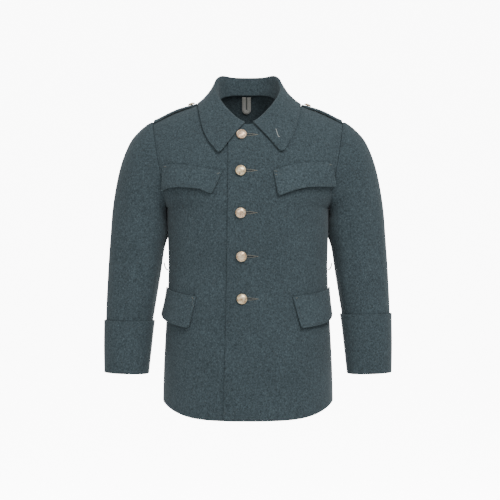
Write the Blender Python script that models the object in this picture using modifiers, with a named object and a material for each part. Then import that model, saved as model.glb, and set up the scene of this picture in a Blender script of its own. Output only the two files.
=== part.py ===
"""Wool military jacket, hollow, in the shape it has when it is worn.

Metres, +Z up. The front faces -Y and the wearer's left is at +X. The origin is where the wearer
carries it: the middle of the neck opening, level with the inner ends of the shoulder seams.
"""

import math

import bmesh
import bpy
import numpy as np

# Cloth and gaps
CLOTH = 0.0025
DOUBLE_CLOTH = 0.0034
COLLAR_CLOTH = 0.0030
TAPE = 0.0012
SEAM_GAP = 0.0003
LAY_GAP = 0.0005

# Torso: its sections are rounded boxes that roll over into the shoulder ridge
CORNER = 2.3
FRONT_ROLL = 0.200
BACK_ROLL = 0.150
SHOULDER_SLOPE = 0.389
SHOULDER_FULLNESS = 0.0022
SHOULDER_FULL_AT = 0.148
SHOULDER_FULL_SPREAD = 0.038
RIDGE_START = 0.062
RIDGE_ROUND = 0.020
NAPE_RISE = 0.044
NAPE_POWER = 0.85
SHOULDER_TIP = 0.203
UNDERARM = -0.240
SPREAD = 0.100
SPREAD_RISE = 0.110

# Neck opening, seen from above
NECK_HALF_WIDTH = 0.070
NECK_FRONT = 0.0840
NECK_BACK = 0.0665

# Hem heights and how late along the front the hem turns up to the side
HEM_FRONT = -0.681
HEM_SIDE = -0.650
HEM_BACK = -0.668
HEM_TURN = 4.5

# Front closure: the wearer's left front lies over the right one
LAP_RAISE = CLOTH + 0.0006
LAP_FLAT_TO = 0.022
LAP_ENDS_AT = 0.064
UNDERLAP = 0.018

# Mesh density, and the angle from which an edge is shown sharp
LOW_ROWS = 11
HIGH_ROWS = 12
OUTER_COLUMNS = 7
NECK_STEP = 15.0
SHARP_ANGLE = 50.0


class Table:
    """Rows of named columns, read along the first column by a smooth curve through the rows."""

    def __init__(self, columns, *rows):
        data = np.array(sorted(rows), float)
        self.at = data[:, 0]
        self.values = {name: data[:, i] for i, name in enumerate(columns) if i}
        self.slopes = {name: np.gradient(v, self.at) for name, v in self.values.items()}

    def __call__(self, column, at):
        at = np.clip(at, self.at[0], self.at[-1])
        i = np.clip(np.searchsorted(self.at, at) - 1, 0, len(self.at) - 2)
        step = self.at[i + 1] - self.at[i]
        t = (at - self.at[i]) / step
        v, m = self.values[column], self.slopes[column]
        return (
            (1 + 2 * t) * (1 - t) ** 2 * v[i]
            + t * (1 - t) ** 2 * step * m[i]
            + t * t * (3 - 2 * t) * v[i + 1]
            - t * t * (1 - t) * step * m[i + 1]
        )


TORSO = Table(
    ("height", "half_width", "front", "back"),
    (0.060, 0.174, 0.080, 0.096),
    (0.000, 0.174, 0.087, 0.100),
    (-0.050, 0.174, 0.099, 0.105),
    (-0.100, 0.174, 0.112, 0.111),
    (-0.150, 0.174, 0.121, 0.117),
    (-0.200, 0.174, 0.126, 0.119),
    (-0.240, 0.1735, 0.1275, 0.118),
    (-0.300, 0.1720, 0.1240, 0.110),
    (-0.360, 0.1705, 0.1180, 0.103),
    (-0.420, 0.1720, 0.1185, 0.106),
    (-0.500, 0.1765, 0.1240, 0.115),
    (-0.580, 0.1805, 0.1280, 0.119),
    (-0.640, 0.1820, 0.1300, 0.121),
    (-0.700, 0.1825, 0.1305, 0.122),
)

ARMHOLE = Table(
    ("height", "x"),
    (-0.240, 0.1735),
    (-0.200, 0.1775),
    (-0.150, 0.1870),
    (-0.100, 0.1955),
    (-0.050, 0.2035),
)

FRONT_EDGE = Table(
    ("height", "x"),
    (-0.700, -0.0508),
    (-0.640, -0.0498),
    (-0.540, -0.0466),
    (-0.400, -0.0440),
    (-0.200, -0.0412),
    (-0.060, -0.0410),
)

# Each row is one ring of the sleeve: its outermost and innermost points seen from the front, its half
# depth, how far its middle lies behind the shoulder seam, and how much of the armhole's outline it keeps.
SLEEVE = Table(
    ("ring", "outer_x", "outer_z", "inner_x", "inner_z", "half_depth", "middle_y", "armhole"),
    (0.0, 0.2035, -0.0552, 0.1737, -0.2400, 0.072, 0.000, 1.00),
    (0.5, 0.2100, -0.0560, 0.1752, -0.2425, 0.073, 0.000, 0.75),
    (1.0, 0.2200, -0.0625, 0.1749, -0.2450, 0.074, 0.000, 0.50),
    (2.0, 0.2460, -0.0880, 0.1747, -0.2500, 0.075, 0.001, 0.15),
    (3.0, 0.2605, -0.1140, 0.1744, -0.2550, 0.076, 0.002, 0.00),
    (4.0, 0.2730, -0.1480, 0.1722, -0.2620, 0.076, 0.003, 0.00),
    (5.0, 0.2830, -0.1910, 0.1700, -0.2750, 0.075, 0.004, 0.00),
    (6.0, 0.2910, -0.2430, 0.1712, -0.2960, 0.073, 0.004, 0.00),
    (7.0, 0.2950, -0.2950, 0.1797, -0.3260, 0.069, 0.003, 0.00),
    (8.0, 0.2988, -0.3520, 0.1852, -0.3650, 0.065, 0.000, 0.00),
    (9.0, 0.3012, -0.4050, 0.1920, -0.4100, 0.061, -0.006, 0.00),
    (10.0, 0.3026, -0.4500, 0.1985, -0.4520, 0.0565, -0.013, 0.00),
    (11.0, 0.3028, -0.4850, 0.2035, -0.4860, 0.0520, -0.018, 0.00),
    (12.0, 0.3030, -0.5360, 0.2085, -0.5380, 0.0480, -0.025, 0.00),
    (13.0, 0.3018, -0.5875, 0.2135, -0.5905, 0.0450, -0.032, 0.00),
)
SLEEVE_RINGS = (0, 0.35, 0.7, 1.2, 2, 3, 4, 5, 6, 7, 8, 9, 10, 11, 12, 13)
SLEEVE_CORNER = 2.25
SLEEVE_CLEAR = 0.0009
SLEEVE_CLEAR_BELOW = 0.004
FRONT_SLEEVE_SEAM = 11
BACK_SLEEVE_SEAM = 17

# Each row is one soft crease of the sleeve. Turn is the place round the sleeve, from 0 at the
# outside through 90 at the front, and lean is how much it turns on its way down.
SLEEVE_CREASE_COLUMNS = ("turn", "ring", "spread_turn", "spread_rings", "lean", "depth")
SLEEVE_CREASES = (
    (62.0, 7.2, 17.0, 2.6, 3.0, -0.0035),
    (108.0, 6.2, 15.0, 2.2, -2.0, -0.0030),
    (138.0, 8.6, 14.0, 1.8, 3.0, 0.0022),
    (235.0, 7.6, 20.0, 2.4, -3.0, -0.0035),
    (285.0, 6.8, 18.0, 2.4, 2.0, 0.0025),
)

# Each row is how far the cuff's cloth lies outside the sleeve's, at a ring of the sleeve
CUFF = Table(
    ("ring", "off"),
    (10.30, 0.0017),
    (11.5, 0.0013),
    (12.4, 0.0009),
    (13.04, 0.0007),
)
CUFF_ROWS = 5
CUFF_TOP = {"left": 10.38, "right": 10.82}

# Collar, from 0 at its front end, by 90 near the shoulder, to 180 at the nape. Stand is the height of its
# fold above the neckline, roll is the radius of the fold, lean is how far the stand leans out, sag is how
# much the fall hollows below it, the edge columns place its outer edge, and off is how far its middle
# stays off the fronts and the back.
COLLAR = Table(
    ("place", "stand", "roll", "lean", "sag", "right_x", "left_x", "edge_y", "right_z", "left_z", "off"),
    (0.0, 0.0072, 0.0052, 0.0000, 0.0000, 0.0578, 0.0700, -0.1065, -0.1340, -0.1307, 0.0040),
    (8.0, 0.0085, 0.0052, 0.0000, 0.0000, 0.0676, 0.0763, -0.1050, -0.1211, -0.1211, 0.0040),
    (24.0, 0.0115, 0.0048, 0.0006, 0.0000, 0.0825, 0.0885, -0.0990, -0.1010, -0.1010, 0.0036),
    (40.0, 0.0120, 0.0040, 0.0022, 0.0000, 0.0935, 0.0985, -0.0880, -0.0775, -0.0775, 0.0034),
    (58.0, 0.0150, 0.0030, 0.0040, 0.0005, 0.1015, 0.1080, -0.0660, -0.0480, -0.0480, 0.0030),
    (72.0, 0.0215, 0.0024, 0.0044, 0.0020, 0.1046, 0.1111, -0.0400, -0.0290, -0.0290, 0.0030),
    (88.0, 0.0330, 0.0021, 0.0030, 0.0040, 0.1055, 0.1120, -0.0050, -0.0185, -0.0185, 0.0030),
    (102.0, 0.0415, 0.0021, 0.0030, 0.0060, 0.1030, 0.1090, 0.0190, -0.0190, -0.0190, 0.0031),
    (118.0, 0.0445, 0.0023, 0.0030, 0.0055, 0.0955, 0.1000, 0.0440, -0.0215, -0.0215, 0.0032),
    (150.0, 0.0372, 0.0028, 0.0018, 0.0020, 0.0560, 0.0570, 0.0740, -0.0240, -0.0240, 0.0034),
    (180.0, 0.0362, 0.0030, 0.0010, 0.0000, 0.0000, 0.0000, 0.0990, -0.0200, -0.0200, 0.0036),
)
COLLAR_LEFT_TURN = 9.0
COLLAR_RIGHT_TURN = 6.2
COLLAR_COLUMNS = 37
COLLAR_INSET = 0.0012
COLLAR_TUCK = 0.004
COLLAR_ROLL_ANGLES = (140, 100, 60, 20)
COLLAR_FALL_ROWS = 5
COLLAR_TIP_ROUND = 0.30

# Pocket flaps, from the outer end to the inner one. The lower edge of each stands off the cloth.
CHEST_FLAP_COLUMNS = ("along", "top_x", "top_z", "bottom_x", "bottom_z", "lift")
CHEST_FLAPS = {
    "left": Table(
        CHEST_FLAP_COLUMNS,
        (0.00, 0.1765, -0.1508, 0.1798, -0.1950, 0.0045),
        (0.08, 0.1670, -0.1474, 0.1690, -0.1962, 0.0042),
        (0.28, 0.1400, -0.1475, 0.1400, -0.1978, 0.0040),
        (0.52, 0.1080, -0.1512, 0.1110, -0.2015, 0.0036),
        (0.75, 0.0800, -0.1565, 0.0850, -0.2095, 0.0032),
        (0.92, 0.0600, -0.1628, 0.0690, -0.2155, 0.0030),
        (1.00, 0.0519, -0.1658, 0.0620, -0.2174, 0.0030),
    ),
    "right": Table(
        CHEST_FLAP_COLUMNS,
        (0.00, 0.1770, -0.1540, 0.1775, -0.2045, 0.0035),
        (0.08, 0.1680, -0.1520, 0.1670, -0.2008, 0.0040),
        (0.28, 0.1377, -0.1528, 0.1440, -0.1985, 0.0040),
        (0.52, 0.1093, -0.1567, 0.1170, -0.2010, 0.0036),
        (0.75, 0.0814, -0.1623, 0.0960, -0.2045, 0.0030),
        (0.92, 0.0620, -0.1668, 0.0810, -0.2113, 0.0028),
        (1.00, 0.0537, -0.1687, 0.0731, -0.2135, 0.0028),
    ),
}
# The hip flap reaches round the side, so its ends are given as turns round the body.
HIP_FLAP = Table(
    ("along", "top_turn", "top_z", "bottom_turn", "bottom_z", "lift_left", "lift_right"),
    (0.00, 86.0, -0.4080, 87.0, -0.4660, 0.0030, 0.0085),
    (0.10, 79.0, -0.4110, 80.0, -0.4720, 0.0032, 0.0080),
    (0.35, 66.0, -0.4155, 68.0, -0.4805, 0.0035, 0.0055),
    (0.70, 49.5, -0.4212, 51.5, -0.4878, 0.0035, 0.0040),
    (1.00, 37.5, -0.4252, 41.5, -0.4915, 0.0032, 0.0035),
)
# How many degrees further forward each flap's front end reaches, at its top and at its bottom
HIP_FLAP_FORWARD = {"left": (8.6, 6.4), "right": (2.1, 1.0)}
FLAP_LIFT_POWER = 1.5
FLAP_COLUMNS = 12
FLAP_ROWS = 4

# Shoulder straps, from a rounded tip by the collar to the armhole seam. Clear is the gap from the
# collar to the tip, and bow is how far the middle stands off the shoulder.
STRAP_HALF_WIDTH = 0.023
STRAP_TIP_ROUND = 0.016
STRAP_TIP_NARROWS = 0.75
STRAP_OUTER = 0.2005
STRAP_CLEAR = 0.0022
STRAP_BOW = 0.0022
STRAP_COLUMNS = 10
STRAP_COLUMN_POWER = 1.5
STRAP_ROWS = 6
JUST_BEHIND = 1e-6

BUTTON_COLUMNS = ("x", "height")
BUTTONS = (
    (-0.0132, -0.0911),
    (-0.0146, -0.1661),
    (-0.0146, -0.2525),
    (-0.0131, -0.3419),
    (-0.0121, -0.4300),
)
BUTTON_RADIUS = 0.0110
BUTTON_SEAT = 0.0006
BUTTON_STEPS = 20
STRAP_BUTTON_RADIUS = 0.0080
STRAP_BUTTON_INSET = 0.0120
STRAP_BUTTON_STEPS = 16

LOOP_X = -0.0036
LOOP_HALF_WIDTH = 0.0055
LOOP_TAPE_WIDTH = 0.0090
LOOP_TOP = 0.0098
LOOP_MIDDLE = -0.0035
LOOP_BOTTOM = -0.0165
LOOP_BEND_STEPS = 8
LOOP_CLEAR = 0.0014

HOOK_HEIGHT = -0.3715
HOOK_RADIUS = 0.0012
HOOK_GAP = 0.0010
# How far out and up from the side seam the wire goes
HOOK_ROUTE = ((0.0, 0.0), (0.0028, 0.0004), (0.0054, 0.0034), (0.0074, 0.0080), (0.0086, 0.0150))

COLOURS = {
    "wool": (0.050, 0.073, 0.083, 1.0),
    "brass": (0.60, 0.47, 0.34, 1.0),
    "steel": (0.035, 0.030, 0.027, 1.0),
    "tape": (0.33, 0.33, 0.31, 1.0),
}


def ridge(x, back):
    """Height of the shoulder line at x. On the back it goes on rising to the nape."""
    reach = np.abs(x) - RIDGE_START
    slope = -SHOULDER_SLOPE * 0.5 * (reach + np.sqrt(reach**2 + RIDGE_ROUND**2))
    full = np.exp(-(((np.abs(x) - SHOULDER_FULL_AT) / SHOULDER_FULL_SPREAD) ** 2))
    inside = np.clip(1 - (x / NECK_HALF_WIDTH) ** 2, 0, None)
    return slope + SHOULDER_FULLNESS * full + (NAPE_RISE * inside**NAPE_POWER if back else 0)


def spread_width(z):
    """Half width of the section that the chest belongs to, past the armhole that cuts it short."""
    above = np.clip(z - UNDERARM, 0, None)
    return TORSO("half_width", z) + SPREAD * (1 - np.exp(-above / SPREAD_RISE))


def fall_from_ridge(x, z, back):
    roll = BACK_ROLL if back else FRONT_ROLL
    return np.clip(1 - (ridge(x, back) - z) / roll, 0, None) ** CORNER


def depth(x, z, back):
    """Distance of the outer cloth from the shoulder plane at x and z."""
    section = np.clip(1 - (np.abs(x) / spread_width(z)) ** CORNER, 0, None)
    rolled = np.clip(1 - fall_from_ridge(x, z, back), 0, None)
    return TORSO("back" if back else "front", z) * (section * rolled) ** (1 / CORNER)


def body_field(p, back):
    """Zero on the torso, positive outside it."""
    x, y, z = p[..., 0], p[..., 1], p[..., 2]
    deep = TORSO("back" if back else "front", z)
    section = (np.abs(x) / spread_width(z)) ** CORNER - 1
    return (np.abs(y) / deep) ** CORNER + (1 - fall_from_ridge(x, z, back)) * section


def field_gradient(p, back, step=2e-5):
    moves = np.eye(3) * step
    return np.stack([body_field(p + m, back) - body_field(p - m, back) for m in moves], -1) / (2 * step)


def unit(v):
    return v / np.linalg.norm(v, axis=-1, keepdims=True)


def body_normal(p, back):
    return unit(field_gradient(p, back))


def off_body(p, back):
    """Distance from p to the torso, near it."""
    return body_field(p, back) / np.linalg.norm(field_gradient(p, back), axis=-1)


def body_point(x, z, back):
    y = depth(x, z, back)
    return np.stack([x, y if back else -y, z], -1)


def height_at(x, y, back):
    """Height where the torso has this x and this distance in front of, or behind, the shoulder plane."""
    top = ridge(x, back) + np.zeros_like(y)
    low = top - (BACK_ROLL if back else FRONT_ROLL)
    high = top
    for _ in range(40):
        middle = (low + high) / 2
        deeper = depth(x, middle, back) > np.abs(y)
        low = np.where(deeper, middle, low)
        high = np.where(deeper, high, middle)
    return (low + high) / 2


def neckline_height(x, back):
    """Height of the neck's edge at x, from its oval seen from above."""
    reach = NECK_BACK if back else NECK_FRONT
    oval = np.sqrt(np.clip(1 - (x / NECK_HALF_WIDTH) ** 2, 0, None))
    return height_at(x, reach * oval, back)


def share(angle):
    """Place along a rounded box's half width, for an angle in degrees from its middle."""
    s = np.sin(np.radians(angle))
    return np.sign(s) * np.abs(s) ** (2 / CORNER)


def angle_of(place):
    place = np.clip(place, -1, 1)
    return np.degrees(np.arcsin(np.sign(place) * np.abs(place) ** (CORNER / 2)))


NECK_ANGLE = float(angle_of(NECK_HALF_WIDTH / SHOULDER_TIP))


def neck_columns(start_x):
    """Column angles from start_x to the neck's corner, evenly round the neck's oval."""
    start = math.degrees(math.asin(start_x / NECK_HALF_WIDTH))
    turns = np.linspace(start, 90, round((90 - start) / NECK_STEP) + 1)
    return angle_of(NECK_HALF_WIDTH * np.sin(np.radians(turns)) / SHOULDER_TIP)


def front_angles(inner, top_inner):
    """Column angles from the front edge, by the neck's corner, to the side."""
    at_top = neck_columns(top_inner)
    shares = (at_top - at_top[0]) / (at_top[-1] - at_top[0])
    to_neck = inner + (NECK_ANGLE - inner) * shares
    to_side = np.linspace(NECK_ANGLE, 90, OUTER_COLUMNS + 1)
    return np.concatenate([to_neck, to_side[1:]])


def back_angles():
    over = neck_columns(-NECK_HALF_WIDTH)
    to_side = np.linspace(NECK_ANGLE, 90, OUTER_COLUMNS + 1)
    return np.concatenate([-to_side[::-1], over[1:-1], to_side])


def top_height(x, back):
    inside = np.abs(x) < NECK_HALF_WIDTH - 1e-6
    return np.where(inside, neckline_height(x, back), ridge(x, back))


def hem_height(place, back):
    middle = HEM_BACK if back else HEM_FRONT
    return middle + (HEM_SIDE - middle) * np.abs(place) ** HEM_TURN


TIP_HEIGHT = float(ridge(SHOULDER_TIP, False))


def rise_rows():
    """Shares of the way up from the underarm, close together at both ends."""
    return (1 - np.cos(np.pi * np.arange(1, HIGH_ROWS + 1) / HIGH_ROWS)) / 2


def torso_grid(back, inner_edge=None):
    """Points of one torso panel, in rows from the hem to the neckline and shoulder seam."""

    def angles(limit, z):
        if back:
            return back_angles()
        return front_angles(angle_of(inner_edge(z) / limit), inner_edge(TIP_HEIGHT))

    rows = []
    for t in np.linspace(0, 1, LOW_ROWS + 1):
        level = HEM_FRONT + (UNDERARM - HEM_FRONT) * t
        place = share(angles(TORSO("half_width", level), level))
        z = hem_height(place, back) * (1 - t) + UNDERARM * t
        x = TORSO("half_width", z) * place
        rows.append(body_point(x, z, back))
    top_place = share(angles(SHOULDER_TIP, TIP_HEIGHT))
    top = top_height(SHOULDER_TIP * top_place, back)
    for w in rise_rows():
        level = UNDERARM + (TIP_HEIGHT - UNDERARM) * w
        limit = ARMHOLE("x", level) if w < 1 else SHOULDER_TIP
        x = limit * share(angles(limit, level))
        z = UNDERARM + (top - UNDERARM) * w
        rows.append(body_point(x, z, back))
    return np.array(rows)


def mirrored(points):
    return points * np.array([-1.0, 1.0, 1.0])


def smooth(t):
    t = np.clip(t, 0, 1)
    return t * t * (3 - 2 * t)


def lap_raise(x):
    """How far the left front stands off the body, over the right front and past it."""
    return LAP_RAISE * smooth((LAP_ENDS_AT - x) / (LAP_ENDS_AT - LAP_FLAT_TO))


def lap_step(x):
    """The same for what lies over both fronts: it comes down again past the front edge."""
    return lap_raise(x) * smooth((x + LAP_ENDS_AT + 0.016) / 0.030)


def collection(name):
    made = bpy.data.collections.new(name)
    bpy.context.scene.collection.children.link(made)
    return made


def material(name, roughness, metallic=0.0):
    made = bpy.data.materials.new(name)
    made.use_nodes = True
    shader = made.node_tree.nodes["Principled BSDF"]
    shader.inputs["Base Color"].default_value = COLOURS[name]
    shader.inputs["Roughness"].default_value = roughness
    shader.inputs["Metallic"].default_value = metallic
    made.diffuse_color = COLOURS[name]
    return made


def finish(obj, parts, finish_material):
    """obj, put in the collection with its material."""
    parts.objects.link(obj)
    obj.data.materials.append(finish_material)
    return obj


def grid_faces(shape, grid, round_tube):
    """Faces between the rows of a grid of vertices, and round it if it is a tube."""
    columns = len(grid[0])
    for low, high in zip(grid, grid[1:]):
        for c in range(columns if round_tube else columns - 1):
            n = (c + 1) % columns
            shape.faces.new((low[c], low[n], high[n], high[c]))


def cloth_object(name, shape, parts, finish_material):
    mesh = bpy.data.meshes.new(name)
    shape.to_mesh(mesh)
    shape.free()
    mesh.shade_smooth()
    mesh.set_sharp_from_angle(angle=math.radians(SHARP_ANGLE))
    return finish(bpy.data.objects.new(name, mesh), parts, finish_material)


def panel(name, outer, inner, parts, finish_material):
    """A loft between the two faces of a sewn panel. Its edges follow the body's normals, as its
    neighbours' edges do, so that they meet flush along the seam."""
    shape = bmesh.new()
    grids = [[[shape.verts.new(p) for p in row] for row in grid] for grid in (outer, inner)]
    for grid in grids:
        grid_faces(shape, grid, False)
    for r in (0, len(outer) - 1):
        grid_faces(shape, [grid[r] for grid in grids], False)
    for c in (0, outer.shape[1] - 1):
        grid_faces(shape, [[row[c] for row in grid] for grid in grids], False)
    bmesh.ops.recalc_face_normals(shape, faces=shape.faces)
    return cloth_object(name, shape, parts, finish_material)


def cloth(name, grid, thickness, side, parts, finish_material, round_tube=False):
    """An open surface made solid. Side is 1 if it is the cloth's lower face, 0 if it is its middle."""
    shape = bmesh.new()
    grid_faces(shape, [[shape.verts.new(p) for p in row] for row in grid], round_tube)
    obj = cloth_object(name, shape, parts, finish_material)
    solid = obj.modifiers.new("cloth", "SOLIDIFY")
    solid.thickness = thickness
    solid.offset = side
    return obj


def build_torso(parts, wool):
    for name, left in (("front_left", True), ("front_right", False)):
        edge = (lambda z: FRONT_EDGE("x", z)) if left else (lambda z: -UNDERLAP)
        points = torso_grid(False, edge)
        normals = body_normal(points, False)
        outer = points + normals * (lap_raise(points[..., 0])[..., None] if left else 0)
        outer[:, -1, 1] -= SEAM_GAP / 2
        outer[-1, -OUTER_COLUMNS - 1 : -1, 1] -= SEAM_GAP / 2
        inner = outer - normals * CLOTH
        if not left:
            outer, inner = mirrored(outer), mirrored(inner)
        panel(name, outer, inner, parts, wool)
    outer = torso_grid(True)
    normals = body_normal(outer, True)
    shoulder = np.abs(outer[-1, :, 0]) >= NECK_HALF_WIDTH - 1e-6
    outer[:, (0, -1), 1] += SEAM_GAP / 2
    outer[-1, shoulder, 1] += SEAM_GAP / 2
    panel("back", outer, outer - normals * CLOTH, parts, wool)


def armhole_ring():
    """The armhole's edge on the wearer's left, and the torso's normals there, from the shoulder tip
    down the front, round the underarm and up the back."""
    w = np.concatenate([rise_rows()[::-1], [0.0]])
    z = UNDERARM + (TIP_HEIGHT - UNDERARM) * w
    x = np.where(w < 1, ARMHOLE("x", z), SHOULDER_TIP)
    x[-1] = TORSO("half_width", UNDERARM)
    front, back = body_point(x, z, False), body_point(x, z, True)
    front_normals, back_normals = body_normal(front, False), body_normal(back, True)
    ring = np.concatenate([front, back[-2:0:-1]])
    return ring, np.concatenate([front_normals, back_normals[-2:0:-1]])


def sleeve_turns():
    """Places round the sleeve, each level with a row of the torso panels at the armhole."""
    return np.arange(2 * HIGH_ROWS) * 180.0 / HIGH_ROWS


def creases(turn, ring):
    """How far the sleeve's creases move its cloth in or out."""
    moved = np.zeros(np.broadcast(turn, ring).shape)
    for row in SLEEVE_CREASES:
        crease = dict(zip(SLEEVE_CREASE_COLUMNS, row))
        at = crease["turn"] + crease["lean"] * (ring - crease["ring"])
        away = (turn - at + 180) % 360 - 180
        along = (ring - crease["ring"]) / crease["spread_rings"]
        moved += crease["depth"] * np.exp(-((away / crease["spread_turn"]) ** 2) - along**2)
    return moved


def rounded(angle, exponent):
    """Points of a rounded box of half width and half depth 1."""
    c, s = np.cos(np.radians(angle)), np.sin(np.radians(angle))
    return np.sign(c) * np.abs(c) ** (2 / exponent), np.sign(s) * np.abs(s) ** (2 / exponent)


def sleeve_ring(ring):
    """Outer points of the wearer's left sleeve at one ring."""
    turns = sleeve_turns()
    across, forward = rounded(turns, SLEEVE_CORNER)
    outer = np.array([SLEEVE("outer_x", ring), 0.0, SLEEVE("outer_z", ring)])
    inner = np.array([SLEEVE("inner_x", ring), 0.0, SLEEVE("inner_z", ring)])
    half_depth = SLEEVE("half_depth", ring)
    crease = creases(turns, np.full(turns.shape, float(ring)))
    middle = (outer + inner) / 2 + np.array([0.0, SLEEVE("middle_y", ring), 0.0])
    points = middle + np.outer(across * (1 + crease / half_depth), (outer - inner) / 2)
    points[:, 1] -= forward * (half_depth + crease)
    keep = float(np.clip(SLEEVE("armhole", ring), 0, 1))
    if keep > 0:
        armhole, _ = armhole_ring()
        points += keep * (armhole - plain_armhole(across, forward))
    return clear_of_side(points)


def clear_of_side(p):
    """p, moved off the torso's side where the sleeve would press into it below the underarm."""
    under = p[..., 2] < UNDERARM - SLEEVE_CLEAR_BELOW
    for back in (False, True):
        near = np.clip(SLEEVE_CLEAR - off_body(p, back), 0, None)[..., None] * body_normal(p, back)
        here = under & ((p[..., 1] > 0) == back)
        p = np.where(here[..., None], p + near, p)
    return p


def plain_armhole(across, forward):
    """The first ring as it would be without the armhole's own outline."""
    outer = np.array([SLEEVE("outer_x", 0), 0.0, SLEEVE("outer_z", 0)])
    inner = np.array([SLEEVE("inner_x", 0), 0.0, SLEEVE("inner_z", 0)])
    points = (outer + inner) / 2 + np.outer(across, (outer - inner) / 2)
    points[:, 1] -= forward * SLEEVE("half_depth", 0)
    return points


def grid_normals(points, round_tube=False):
    along = np.gradient(points, axis=0)
    if round_tube:
        across = np.roll(points, -1, axis=1) - np.roll(points, 1, axis=1)
    else:
        across = np.gradient(points, axis=1)
    return unit(np.cross(across, along))


def outward_normals(tube):
    normals = grid_normals(tube, True)
    away = tube - tube.mean(1, keepdims=True)
    return normals if np.sum(normals * away) > 0 else -normals


def build_sleeves(parts, wool):
    outer = np.array([sleeve_ring(ring) for ring in SLEEVE_RINGS])
    normals = outward_normals(outer)
    _, torso_normals = armhole_ring()
    onward = unit(outer[1] - outer[0])
    apart = np.clip(np.sum((normals[0] - torso_normals) * onward, -1, keepdims=True), 0, None)
    normals[0] = unit(normals[0] - apart * onward)
    outer[0] += onward * SEAM_GAP
    inner = outer - normals * CLOTH
    front, back = FRONT_SLEEVE_SEAM, BACK_SLEEVE_SEAM
    size = outer.shape[1]
    pieces = {
        "sleeve_under": list(range(front, back + 1)),
        "sleeve_top": list(range(back, size)) + list(range(front + 1)),
    }
    for piece, columns in pieces.items():
        over, under = outer[:, columns].copy(), inner[:, columns].copy()
        for grid in (over, under):
            grid[:, 0] += unit(grid[:, 1] - grid[:, 0]) * SEAM_GAP / 2
            grid[:, -1] += unit(grid[:, -2] - grid[:, -1]) * SEAM_GAP / 2
        panel(f"{piece}_left", over, under, parts, wool)
        panel(f"{piece}_right", mirrored(over), mirrored(under), parts, wool)


def build_cuffs(parts, wool):
    for side, top in CUFF_TOP.items():
        rings = np.linspace(CUFF.at[-1], top, CUFF_ROWS)
        sleeve = np.array([sleeve_ring(ring) for ring in rings])
        normals = outward_normals(sleeve)
        under = sleeve + normals * CUFF("off", rings)[:, None, None]
        under = mirrored(under) if side == "right" else under[:, ::-1]
        cloth(f"cuff_{side}", under, CLOTH, 1, parts, wool, round_tube=True)


def neck_ring(turn):
    """The neckline, its outward direction and the cloth's normal there, at turns from 0 at the front
    of the neck, past the wearer's left shoulder, to 360."""
    angle = np.radians(turn)
    x = NECK_HALF_WIDTH * np.sin(angle)
    front, behind = np.cos(angle) >= 0, np.cos(angle) < 0
    y = -np.cos(angle) * np.where(front, NECK_FRONT, NECK_BACK)
    z = np.where(behind, height_at(x, y, True), height_at(x, y, False))
    point = np.stack([x, y, z], -1)
    normal = np.where(behind[:, None], body_normal(point, True), body_normal(point, False))
    away = np.stack([np.sin(angle), -np.cos(angle), np.zeros_like(angle)], -1)
    return point, away, normal


def settled(p, off):
    """p, moved to be a given distance off the torso."""
    for _ in range(6):
        for back in (False, True):
            wanted = off if back else off + lap_step(p[..., 0])
            moved = p + (wanted - off_body(p, back))[..., None] * body_normal(p, back)
            here = (p[..., 1] > 0) == back
            p = np.where(here[..., None], moved, p)
    return p


def pushed_off(p, least):
    """p, moved off the torso where it is nearer than least."""
    for _ in range(5):
        for back in (False, True):
            wanted = least if back else least + lap_step(p[..., 0])
            near = np.clip(wanted - off_body(p, back), 0, None)[..., None] * body_normal(p, back)
            here = (p[..., 1] > 0) == back
            p = np.where(here[..., None], p + near, p)
    return p


def collar_grid():
    """The middle of the collar's cloth, from the foot of its stand, over the fold, to its outer edge."""
    turn = np.linspace(COLLAR_LEFT_TURN, 360 - COLLAR_RIGHT_TURN, COLLAR_COLUMNS)
    half_turn = np.minimum(turn, 360 - turn)
    left = turn <= 180
    end = np.where(left, COLLAR_LEFT_TURN, COLLAR_RIGHT_TURN)
    place = 180 * (half_turn - end) / (180 - end)
    neck, away, normal = neck_ring(turn)
    flat_normal = np.clip(np.sum(normal * away, -1), 0, 1)
    inset = CLOTH * flat_normal + COLLAR_INSET + COLLAR_CLOTH / 2
    foot = neck - away * inset[:, None] - np.array([0, 0, COLLAR_TUCK])
    roll = COLLAR("roll", place)[:, None]
    stand = COLLAR("stand", place)[:, None] - COLLAR_CLOTH / 2 - roll
    up = np.array([0.0, 0.0, 1.0])
    top = foot + up * (stand + COLLAR_TUCK) + away * COLLAR("lean", place)[:, None]
    rows = [foot, foot + (top - foot) * 0.5, top]
    centre = top + away * roll
    for a in np.radians(COLLAR_ROLL_ANGLES):
        rows.append(centre + away * roll * math.cos(a) + up * roll * math.sin(a))
    edge_x = np.where(left, COLLAR("left_x", place), -COLLAR("right_x", place))
    off = COLLAR("off", place)
    edge_z = np.where(left, COLLAR("left_z", place), COLLAR("right_z", place))
    edge = settled(np.stack([edge_x, COLLAR("edge_y", place), edge_z], -1), off)
    start = rows[-1]
    for w in np.linspace(0, 1, COLLAR_FALL_ROWS + 1)[1:]:
        line = start * (1 - w) + edge * w
        line[:, 2] -= COLLAR("sag", place) * 4 * w * (1 - w)
        rows.append(pushed_off(line, off))
    return np.array(rows)


def build_collar(parts, wool):
    """The collar, with the tip at each front end blunted by a share of its last cell."""
    grid = collar_grid()
    grid[-1, 0] += (grid[-2, 1] - grid[-1, 0]) * COLLAR_TIP_ROUND
    grid[-1, -1] += (grid[-2, -2] - grid[-1, -1]) * COLLAR_TIP_ROUND
    cloth("collar", grid, COLLAR_CLOTH, 0, parts, wool)


def laid_on(x, z, back, off):
    """Points of the torso at x and z, moved off it by a distance."""
    p = body_point(x, z, back)
    return p + body_normal(p, back) * off[..., None]


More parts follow.
